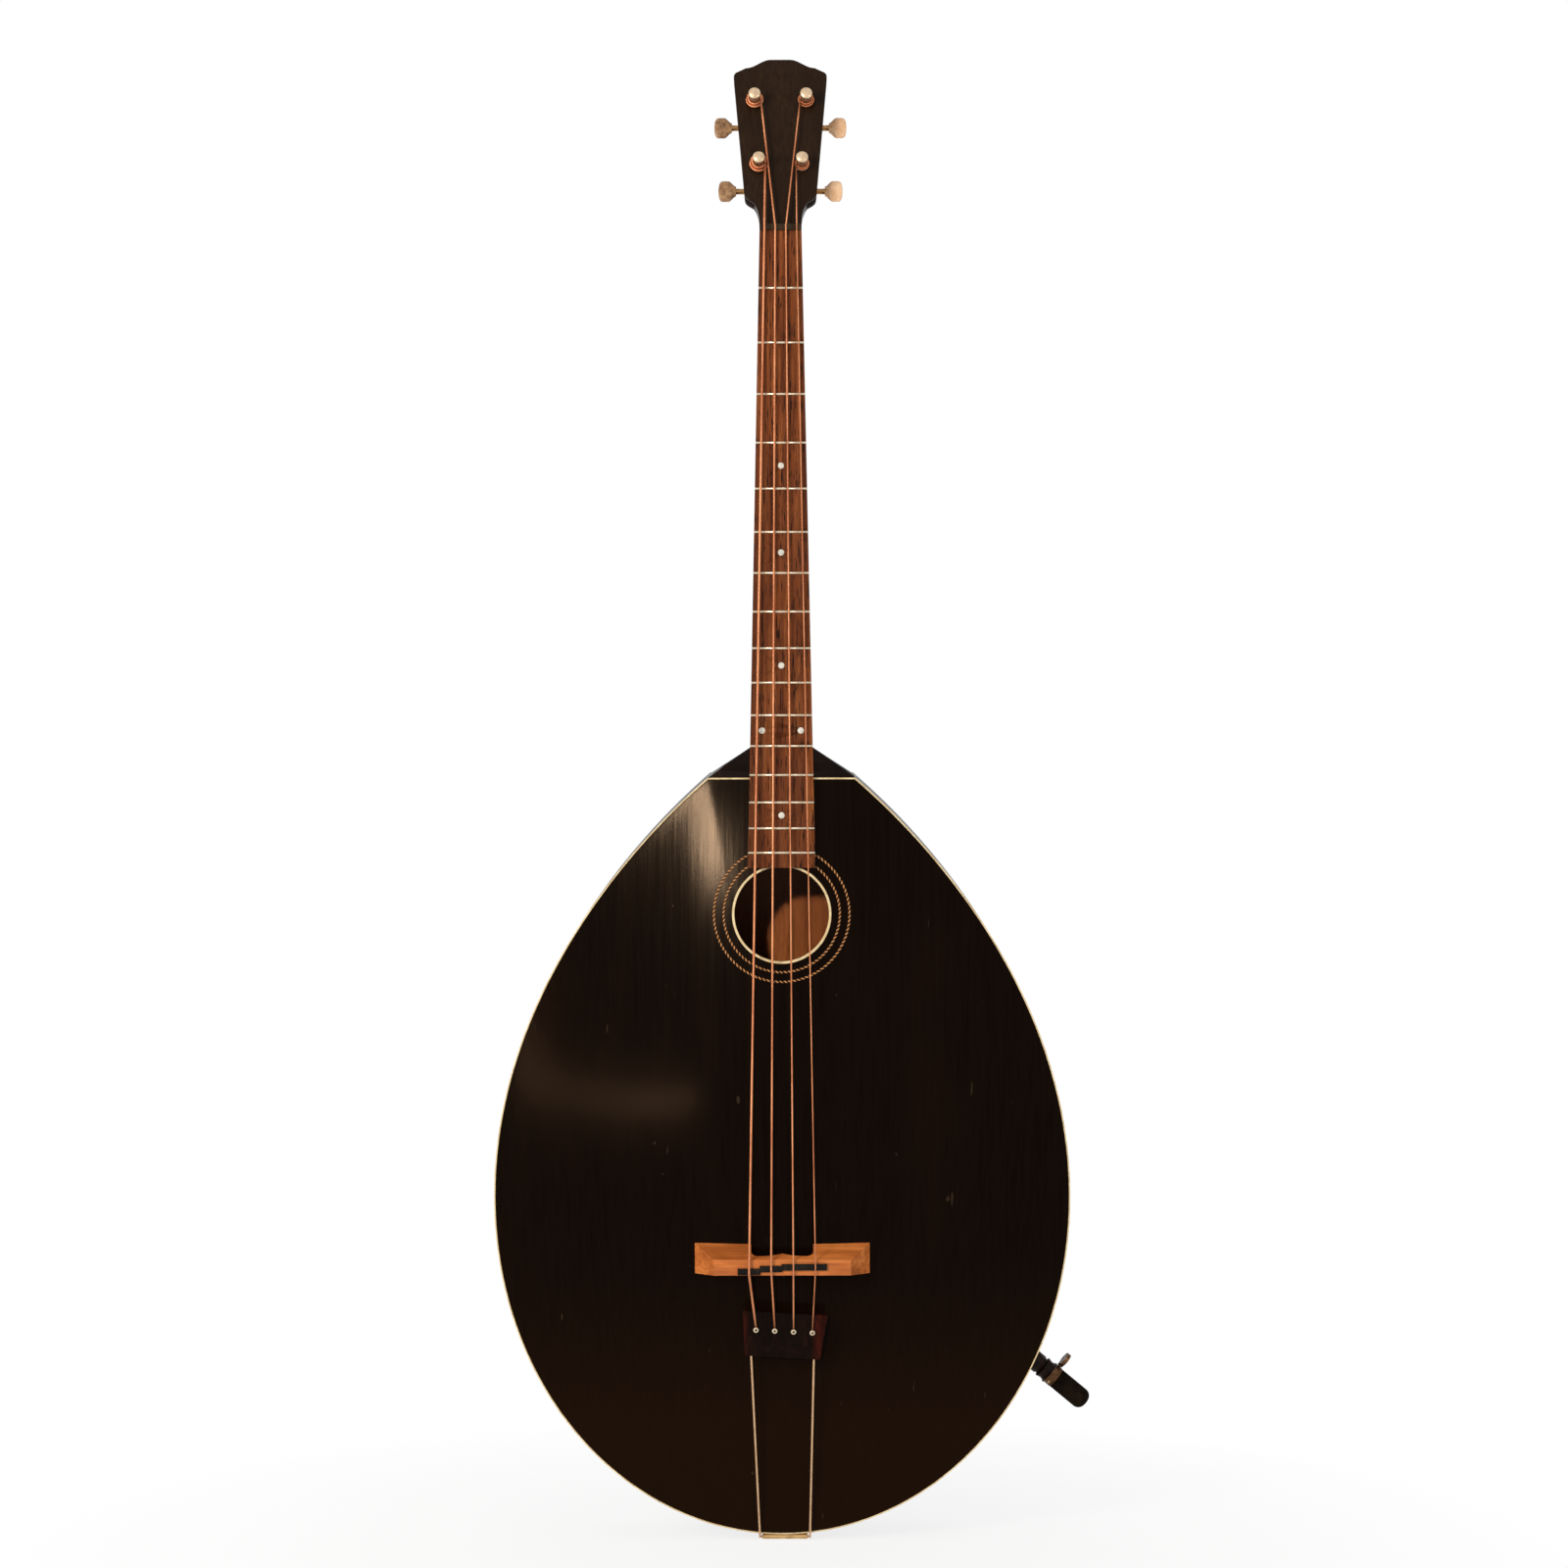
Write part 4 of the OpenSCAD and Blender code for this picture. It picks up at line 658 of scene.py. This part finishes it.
top = soundboard()
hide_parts("soundboard")
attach(top, "instrument")
wear(top, "top_lacquer")
back = back_plate()
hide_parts("back_plate")
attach(back, "instrument")
wear(back, "body_back_finish")
back.data.materials.append(made["bare_inner_wood"])
loop = len(around(0.0, 0.0))
inside = np.zeros(len(back.data.polygons), int)
inside[:(BACK_STEPS - 1) * loop] = 1
inside[(2 * BACK_STEPS - 1) * loop:2 * BACK_STEPS * loop] = 1
back.data.polygons.foreach_set("material_index", inside)
print("plates:", len(top.data.polygons), len(back.data.polygons))

# %% [markdown]
# The ribs are bent strips of wood, and the binding is a thin cream strip glued along the edge. Both
# are bands that follow the rim: a small rectangle with softened corners carried round the outline.
# The binding's corners are softer, because hands rest on it.

# %% Ribs and binding
def rim_band(name, inset0, inset1, y0, y1, soften=0.0003):
    """A rectangle from inset0 to inset1 and from depth y0 to y1, its corners cut by soften, carried
    round the rim; its two ends are closed at the neck."""
    s = soften
    section = [(inset0, y0 + s), (inset0 + s, y0), (inset1 - s, y0), (inset1, y0 + s),
               (inset1, y1 - s), (inset1 - s, y1), (inset0 + s, y1), (inset0, y1 - s)]
    rows = []
    for inset, y in section:
        line = rim_line(inset)
        rows.append(np.stack([line[:, 0], np.full(len(line), y), line[:, 1]], axis=1))
    piece = surface(name, from_body(np.stack(rows, axis=1)), False, True, poles=True)
    sharpen(piece, 30)
    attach(piece, "instrument")
    return piece


ribs = rim_band("bent_ribs", 0.0, RIB_THICK, PLATE, DEPTH - PLATE)
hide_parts("ribs")
wear(ribs, "side_finish")
edge_binding = rim_band("edge_binding", 0.0, BINDING, 0.0, PLATE, 0.0005)
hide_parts("binding")
wear(edge_binding, "cream_binding")
print("bands:", len(ribs.data.polygons), len(edge_binding.data.polygons))

# %% [markdown]
# ## Rope inlays
# Two rings of rope inlay circle the soundhole and end at the fingerboard. Each is a narrow strip
# that lies on the arched top, bulging by a hair. Its map counts lozenges along the ring.

# %% Rope rings
HALF_BOARD = 0.0337
ROPE_W = 0.0026


def rope_ring(name, radius, turns, steps=260, strips=7):
    """Point (angle, share across): a circle seen from the front, laid on the arch; height a cosine."""
    start = math.asin(HALF_BOARD / radius)
    a = np.linspace(start, 2 * math.pi - start, steps)
    v = np.linspace(-1, 1, strips)
    r = radius + v * ROPE_W / 2
    x = np.sin(a)[:, None] * r
    z_world = HOLE[2] + np.cos(a)[:, None] * r
    zb = (z_world + BODY_AT) / math.cos(PITCH)
    for _ in range(3):
        zb = (z_world + BODY_AT + arch(x, zb) * math.sin(PITCH)) / math.cos(PITCH)
    lift = 0.00022 * np.cos(v * math.pi / 2) - 0.00004
    front = from_body(np.stack([x, -arch(x, zb) - lift, zb], axis=-1))
    back_side = front[:, ::-1] + [0, 0.0012, 0]
    along = np.linspace(0, turns, steps)
    across = np.concatenate([np.linspace(0, 1, strips), np.linspace(1, 0, strips), [0]])
    both = np.concatenate([front, back_side], axis=1)
    piece = surface(name, both, False, True, uv=(along, across), poles=True)
    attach(piece, "instrument")
    wear(piece, "rope_inlay")
    return piece


inner_rope = rope_ring("rope_ring_inner", 0.060, 70)
outer_rope = rope_ring("rope_ring_outer", 0.070, 82)
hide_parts("rosette_ropes")
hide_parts("rosette_ropes")
print("rope inlays laid")

# %% [markdown]
# ## Strings
# A wound string runs straight from the nut to the bridge, bends a little over the saddle and goes
# down to its pin. It is drawn as a ring carried along that path, with a map that counts the turns
# of its winding.

# %% Where the strings run
STRINGS = ["e", "a", "d", "g"]
RADIUS = [0.0013, 0.0011, 0.0009, 0.0007]
POST = {"e": (-1, 0.0224, 0.068), "a": (-1, 0.0269, 0.141), "d": (1, 0.0269, 0.141), "g": (1, 0.0224, 0.068)}
POST_R = 0.0053
WIND_FROM = -0.0039
SADDLE_BACK = [0.0069, 0.004, 0.0022, 0.0022]
COIL = [0.0011, 0.0011, 0.0011, 0.0008]


def string_path(i):
    """From the post, over the nut, over the saddle and to the pin. The solid string's points near the
    nut, the saddle and its low end say where it runs."""
    side, px, pt = POST[STRINGS[i]]
    r = RADIUS[i]
    v = triples(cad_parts["string_" + STRINGS[i]].data.vertices, "co")
    low = v[v[:, 2] < v[:, 2].min() + 0.0008].mean(axis=0)
    nut = v[(np.abs(v[:, 2]) < 0.0005)].mean(axis=0)
    saddle = v[np.abs(v[:, 2] + SCALE_LEN + SADDLE_BACK[i]) < 0.003].mean(axis=0)
    leave = from_peghead([side * (px - POST_R - r), WIND_FROM - 4.6 * r, pt - 0.0016])
    corners = [leave, nut + [0, 0, 0.0045], nut, saddle + [0, 0, 0.003], saddle - [0, 0, 0.003], low]
    path = []
    for a, b in zip(corners[:-1], corners[1:]):
        steps = max(3, int(np.linalg.norm(b - a) / 0.02))
        path.append(np.linspace(a, b, steps, endpoint=False))
    path.append([low])
    return np.concatenate(path)


for i, s in enumerate(STRINGS):
    path = string_path(i)
    piece = surface("wound_string_" + s, carried(path, RADIUS[i] * 0.98), False, True,
                    uv=(lengths(path) / COIL[i], np.linspace(0, 1, SIDES + 1)), poles=True)
    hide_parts("string_" + s)
    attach(piece, "instrument")
    wear(piece, "wound_bronze")
    print("string", s, "length", round(float(lengths(path)[-1]), 4))

# %% [markdown]
# Round each post the string makes a few close turns. They are a helix: the angle grows while the
# height falls by a little more than half a string width a turn, so the turns lie tight together. The
# first turn was wound over the others, so it starts further out and then moves in to the post.

# %% Turns round the posts
def post_winding(i):
    """One path round the post: a turn on the outside, a move inwards, then three turns of a helix at
    radius post + string that fall by 1.2 string radii a turn; the ends taper in."""
    s = STRINGS[i]
    side, px, pt = POST[s]
    r = RADIUS[i]
    steps = 200
    turn = np.linspace(-1.25, 3.0, steps)
    a = 2 * math.pi * turn
    inwards = np.clip((turn + 0.25) / 0.25, 0, 1)
    ring = POST_R + r + 1.75 * r * (1 - inwards)
    height = WIND_FROM - r * (1.3 - 0.3 * inwards) - 1.2 * r * np.clip(turn, 0, 3)
    x = side * (px + ring * np.cos(a + math.pi / 2))
    path = from_peghead(np.stack([x, height, pt + ring * np.sin(a + math.pi / 2)], axis=1))
    from_end = np.minimum(np.arange(steps), steps - 1 - np.arange(steps))
    taper = np.clip(from_end / 5, 0.3, 1)
    piece = surface("winding_" + s, carried(path, r * 0.99 * taper), False, True,
                    uv=(lengths(path) / COIL[0], np.linspace(0, 1, SIDES + 1)), poles=True)
    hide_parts("wrap_" + s)
    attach(piece, "tuner_post_" + s)
    wear(piece, "wound_bronze")


for i in range(4):
    post_winding(i)
print("windings on four posts")

# %% [markdown]
# ## Buttons
# Each tuner's button is a moulded paddle: narrow at the stem, wide and round at its end, and
# thickest in the middle. Its thickness at any point falls towards the outline like an ellipse.

# %% Paddle buttons
BUTTON_W = 0.023
BUTTON_THICK = 0.0066
STEM_HALF = 0.0054


def paddle(s, finish):
    """Point (station along the button, angle round it): half width from the outline, half thickness
    an ellipse, both taken with powers that keep the section full."""
    low, high = (np.array(c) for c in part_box("button_" + s))
    middle = (low + high) / 2
    u = rounded_shares(34)
    c = np.clip(u / 0.44, 0, 1)
    shape = STEM_HALF + (BUTTON_W / 2 - STEM_HALF) * c * c * (3 - 2 * c)
    shape = shape * np.maximum(1 - np.maximum(0, (u - 0.7) / 0.3) ** 3, 0.0001) ** 0.42
    a = np.linspace(0, 2 * math.pi, 28, endpoint=False)
    power = 0.7
    across = np.sign(np.cos(a)) * np.abs(np.cos(a)) ** power
    deep = np.sign(np.sin(a)) * np.abs(np.sin(a)) ** power
    full = BUTTON_THICK / 2 * (0.8 + 0.2 * np.sin(math.pi * u)) * np.clip(shape / STEM_HALF, 0.05, 1) ** 0.5
    x = middle[0] + POST[s][0] * (u - 0.5) * (high[0] - low[0])
    y = full[:, None] * deep
    t = shape[:, None] * across
    yy = middle[1] + y * math.cos(LEAN) + t * math.sin(LEAN)
    zz = middle[2] - y * math.sin(LEAN) + t * math.cos(LEAN)
    grid = np.stack([np.broadcast_to(x[:, None], yy.shape), yy, zz], axis=-1)
    piece = surface("paddle_" + s, grid, False, True, poles=True)
    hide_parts("button_" + s)
    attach(piece, "tuner_worm_" + s)
    wear(piece, finish)


for s in STRINGS:
    # The e and a buttons on the left side wear the darker copy, as painted shade.
    paddle(s, "button_in_painted_shade" if s in "ea" else "cream_button")
print("four buttons")

# %% [markdown]
# ## The other parts
# Turned, sawn and cast parts keep the solids' shapes. A copy of each solid's mesh is joined up, so
# that it can shade smoothly, its hard edges stay hard, and a narrow bevel catches the light as real
# edges do. The copy then stands in for the solid.


def softened(node, finish, body="instrument", bevel=0.0, degrees=35):
    """A merged copy of a solid, with crisp edges marked and a small bevel on them."""
    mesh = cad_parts[node].data.copy()
    work = bmesh.new()
    work.from_mesh(mesh)
    bmesh.ops.remove_doubles(work, verts=work.verts, dist=1e-6)
    bmesh.ops.dissolve_degenerate(work, dist=1e-7, edges=work.edges)
    work.to_mesh(mesh)
    work.free()
    mesh.polygons.foreach_set("use_smooth", np.ones(len(mesh.polygons), bool))
    piece = bpy.data.objects.new("finished_" + node, mesh)
    bpy.context.scene.collection.objects.link(piece)
    sharpen(piece, degrees)
    if bevel:
        soft = piece.modifiers.new("soft_edges", "BEVEL")
        soft.width = bevel
        soft.segments = 2
        soft.limit_method = "ANGLE"
        soft.angle_limit = math.radians(degrees)
        soft.harden_normals = True
    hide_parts(node)
    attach(piece, body)
    wear(piece, finish)
    return piece


softened("neck", "neck_finish", degrees=40)
softened("heel_cap", "ebony", bevel=0.0004)
softened("peghead_veneer", "veneer_finish", bevel=0.0004)
softened("fingerboard", "rosewood")
softened("frets", "fret_wire", degrees=50)
softened("position_dots", "pearl")
softened("nut", "nut_wood", bevel=0.0003)
softened("neck_joint_strip", "cream_binding")
softened("soundhole_ring", "cream_binding", bevel=0.0004)
softened("tuner_plates", "aged_brass", bevel=0.0003)
softened("plate_screws", "aged_brass")
softened("post_bushings", "post_nickel", bevel=0.0002)
softened("bridge", "orange_maple", bevel=0.0008, degrees=28)
softened("saddles", "ebony", bevel=0.0003)
pins = softened("tail_pins", "pin_cream")
softened("tail_wire", "rod_brass", degrees=60)
softened("tail_hinge", "aged_brass", bevel=0.0002)
softened("hinge_screws", "aged_brass")
softened("leg_socket", "neck_finish")
softened("leg_collar", "dark_brass", bevel=0.0002)
softened("collar_screw", "aged_brass")
softened("thumbscrew", "dark_brass", "thumbscrew", bevel=0.0004)
softened("leg_rod", "leg_steel", "leg", bevel=0.0004)
softened("rubber_tip", "old_rubber", "leg")
for s in STRINGS:
    softened("worm_" + s, "shaft_brass", "tuner_worm_" + s)
    softened("gear_" + s, "aged_brass", "tuner_post_" + s, bevel=0.0001)
    softened("post_" + s, "post_nickel", "tuner_post_" + s)
print("softened copies made")

# %% [markdown]
# Each string pin has a shallow hollow in its head, drawn in a dark finish. It is part of the pin's mesh, so
# its faces take a second material: those near the axis of their own pin.

# %% Dark hollows in the pins
face_at = triples(pins.data.polygons, "center")
in_order = np.sort(face_at[:, 0])
last_of_pin = np.flatnonzero(np.diff(in_order) > 0.005)
pin_of = np.digitize(face_at[:, 0], in_order[last_of_pin] + 0.001)
hollow = np.zeros(len(face_at), int)
for k in range(len(last_of_pin) + 1):
    mine = pin_of == k
    head = face_at[mine & (face_at[:, 1] < face_at[mine, 1].min() + 0.002)]
    middle = (head.min(axis=0) + head.max(axis=0)) / 2
    hollow[mine & (np.hypot(*(face_at - middle)[:, [0, 2]].T) < 0.0012)] = 1
pins.data.materials.append(made["ebony"])
pins.data.polygons.foreach_set("material_index", hollow)
print("dark faces in the pins' heads:", int(hollow.sum()))

# %% [markdown]
# ## Tailpiece plate
# The plate is a flat sheet of shell plastic with polished round edges. It is a loop of points round
# its outline that moves in and forward over a quarter circle, so the edge catches a thin line of
# light. The solid's mesh gives its four corners and its thickness.

# %% Plate with round edges
def plate_frame(node):
    """The solid's points, its normal and two directions in the plate. The normal is the one of its
    largest triangle, turned to the front."""
    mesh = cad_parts[node].data
    area = np.array([face.area for face in mesh.polygons])
    n = np.array(mesh.polygons[int(area.argmax())].normal)
    n = n * (-np.sign(n[1]))
    u = np.array([1.0, 0, 0]) - n * n[0]
    u = u / np.linalg.norm(u)
    return triples(mesh.vertices, "co"), n, u, np.cross(u, n)


def rounded_outline(corners, radius, n=8):
    """Closed outline with an arc of n points in place of each corner, going round the plate."""
    out = []
    for k in range(len(corners)):
        before, at, after = corners[k - 1], corners[k], corners[(k + 1) % len(corners)]
        a, b = before - at, after - at
        a, b = a / np.linalg.norm(a), b / np.linalg.norm(b)
        t = np.linspace(0, 1, n)[:, None]
        out.append((1 - t) ** 2 * (at + a * radius) + 2 * (1 - t) * t * at + t ** 2 * (at + b * radius))
    return np.concatenate(out)


EDGE_R = 0.0012
CORNER_R = 0.0022


def shell_plate():
    """Loop (step across the edge, point round the outline): set in by r (1 - sin a) and down from the
    face by r (1 - cos a), the front half and then the back half, with a fan over each face."""
    v, n, u, w = plate_frame("tail_plate")
    depth = v @ n
    flat = np.stack([v @ u, v @ w], axis=1)
    corners = np.array([flat[np.argmax(flat @ d)] for d in ([-1, 1], [1, 1], [1, -1], [-1, -1])], float)
    middle = corners.mean(axis=0)
    outline = rounded_outline(corners, CORNER_R)
    way = outline - middle
    way = way / np.linalg.norm(way, axis=1, keepdims=True)
    a = np.linspace(0, math.pi / 2, 7)
    inwards = [outline - way * (EDGE_R * (1 - math.sin(t))) for t in a]
    front = [(p, depth.max() - EDGE_R * (1 - math.cos(t))) for p, t in zip(inwards, a)]
    back_side = [(p, depth.min() + EDGE_R * (1 - math.cos(t))) for p, t in zip(inwards, a)][::-1]
    rows = [(middle + (outline - middle) * 0.5, depth.max())] + front + back_side
    grid = np.stack([p[:, :1] * u + p[:, 1:] * w + d * n for p, d in rows])
    piece = surface("shell_plate", grid, False, True, poles=True)
    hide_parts("tail_plate")
    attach(piece, "instrument")
    wear(piece, "tortoiseshell")
    return piece


plate = shell_plate()
print("plate box", np.round(plate.bound_box[0][:], 4), np.round(plate.bound_box[6][:], 4))

# %% [markdown]
# The pieces inside the body are bare wood. Only a little of them can be seen through the soundhole,
# so the solids stay as they are and only take the finish.

# %% Inside the body
for node in ("linings", "neck_block", "tail_block", "leg_block", "top_brace"):
    wear(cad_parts[node], "bare_inner_wood")
print("the inner pieces are bare wood")

# %% [markdown]
# ## Room and light
# The instrument stands over a plain pale floor, which takes its shadow. Near the body the floor is lit
# like any surface. Farther out it glows white, so that it ends without a horizon.

# %% Floor
z = float(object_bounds()[0][2]) - 0.002
floor_mesh = bpy.data.meshes.new("pale_floor")
floor_mesh.from_pydata([(-6, -6, z), (6, -6, z), (6, 9, z), (-6, 9, z)], [], [(0, 1, 2, 3)])
floor = bpy.data.objects.new("pale_floor", floor_mesh)
bpy.context.scene.collection.objects.link(floor)
pale = Finish("floor_white", Roughness=0.9, Specular_IOR_Level=0.1)
pale.shader.inputs["Base Color"].default_value = (0.9, 0.9, 0.9, 1)
out_from = pale.add("ShaderNodeVectorMath", {0: pale.place()}, operation="LENGTH").outputs["Value"]
far = pale.add("ShaderNodeMapRange", {"Value": out_from, "From Min": 0.3, "From Max": 1.6}).outputs[0]
glow = pale.add("ShaderNodeEmission", {"Color": (1, 1, 1, 1), "Strength": 1.0})
blend = pale.add("ShaderNodeMixShader", {0: far, 1: pale.shader.outputs[0], 2: glow.outputs[0]})
pale.links.new(blend.outputs[0], pale.nodes["Material Output"].inputs["Surface"])
floor.data.materials.append(pale.material)
print("floor at", round(z, 4))

# %% [markdown]
# The surround is pure white where it is seen, mirrored or looked through, and half as bright where it
# lights the pieces. A light path node tells the two kinds of ray apart, so the background stays
# white and the soft light is still free to choose.

# %% Surround
world = bpy.data.worlds.new("surround")
bpy.context.scene.world = world
world.use_nodes = True
w = world.node_tree
w.nodes.clear()
ray = w.nodes.new("ShaderNodeLightPath")
seen = ray.outputs["Is Camera Ray"]
for kind in ("Is Glossy Ray", "Is Transmission Ray"):
    either = w.nodes.new("ShaderNodeMath")
    either.operation = "MAXIMUM"
    w.links.new(seen, either.inputs[0])
    w.links.new(ray.outputs[kind], either.inputs[1])
    seen = either.outputs[0]
mixed = w.nodes.new("ShaderNodeMixShader")
w.links.new(seen, mixed.inputs[0])
for k, strength in ((1, 0.5), (2, 1.0)):
    whites = w.nodes.new("ShaderNodeBackground")
    whites.inputs["Color"].default_value = (1, 1, 1, 1)
    whites.inputs["Strength"].default_value = strength
    w.links.new(whites.outputs[0], mixed.inputs[k])
w.links.new(mixed.outputs[0], w.nodes.new("ShaderNodeOutputWorld").inputs["Surface"])
print("surround set")

# %% [markdown]
# One broad warm lamp at the upper left is the key, and a weaker one at the right fills in. They have
# to be broad, because small lamps would draw hard shadows of the strings on the top.

# %% Broad lamps
def lamp(name, place, aim, size, watts, tint=(1, 1, 1)):
    """An area lamp at a place, turned to face a point."""
    data = bpy.data.lights.new(name, "AREA")
    data.shape = "RECTANGLE"
    data.size, data.size_y = size
    data.energy = watts
    data.color = tint
    obj = bpy.data.objects.new(name, data)
    obj.location = place
    way = np.array(aim, float) - np.array(place, float)
    obj.rotation_euler = Vector(way).to_track_quat("-Z", "Y").to_euler()
    bpy.context.scene.collection.objects.link(obj)
    return obj


def only_on(light, piece):
    """The lamp lights this piece and nothing else."""
    lit = bpy.data.collections.new(light.name + "_lights")
    lit.objects.link(piece)
    light.light_linking.receiver_collection = lit


lamp("key_softbox", (-2.0, -2.7, 0.3), (0, 0, -0.75), (0.9, 1.4), 84, (1.0, 0.96, 0.88))
lamp("fill_softbox", (2.0, -2.4, 0.0), (0, 0, -0.8), (0.8, 1.6), 12)
print("broad lamps set")

# %% [markdown]
# Black lacquer shows itself by what it mirrors: a warm streak on the shoulder and a soft brown band
# across the belly. Each is a small lamp that lights only the top and stands where the arch mirrors it
# to the viewer. A narrow spot shows the bare wood at the bottom of the soundhole.

# %% Mirrored lamps and the spot for the soundhole
def mirrored_lamp(name, x, z, away, size, watts, tint=(1.0, 0.66, 0.4)):
    """A small lamp where the lacquer at a point of the body's drawing mirrors it to the viewer: the
    sight line d turned over the surface's normal n is d - 2 (d . n) n."""
    step = 0.002
    slope_x = (arch(x + step, z) - arch(x - step, z)) / (2 * step)
    slope_z = (arch(x, z + step) - arch(x, z - step)) / (2 * step)
    n = from_body([-slope_x, -1, -slope_z]) - from_body([0, 0, 0])
    n = n / np.linalg.norm(n)
    spot = from_body([x, -arch(x, z), z])
    d = spot - np.array(camera.location)
    d = d / np.linalg.norm(d)
    place = spot + away * (d - 2 * (d @ n) * n)
    only_on(lamp(name, place.tolist(), spot.tolist(), size, watts, tint), top)
    print(name, "at", place.round(2))


mirrored_lamp("shoulder_glint", -0.076, -0.036, 2.4, (0.1, 0.16), 40.0)
mirrored_lamp("belly_sheen", -0.14, -0.335, 2.4, (0.36, 0.03), 2.2, (1.0, 0.55, 0.28))


def hole_spot(name, place, watts):
    """A narrow spot lamp whose cone fills the soundhole: half angle = atan(1.3 radius / distance). It
    is linked to the back plate, so the strings in front of the hole do not flare."""
    data = bpy.data.lights.new(name, "SPOT")
    way = HOLE - np.array(place)
    data.energy = watts
    data.spot_size = 2 * math.atan(1.3 * HOLE_R / float(np.linalg.norm(way)))
    data.spot_blend = 0.25
    data.shadow_soft_size = 0.14
    obj = bpy.data.objects.new(name, data)
    obj.location = place
    obj.rotation_euler = Vector(way).to_track_quat("-Z", "Y").to_euler()
    bpy.context.scene.collection.objects.link(obj)
    only_on(obj, back)


hole_spot("soundhole_spot", (-0.5, -1.9, -0.24), 2000)
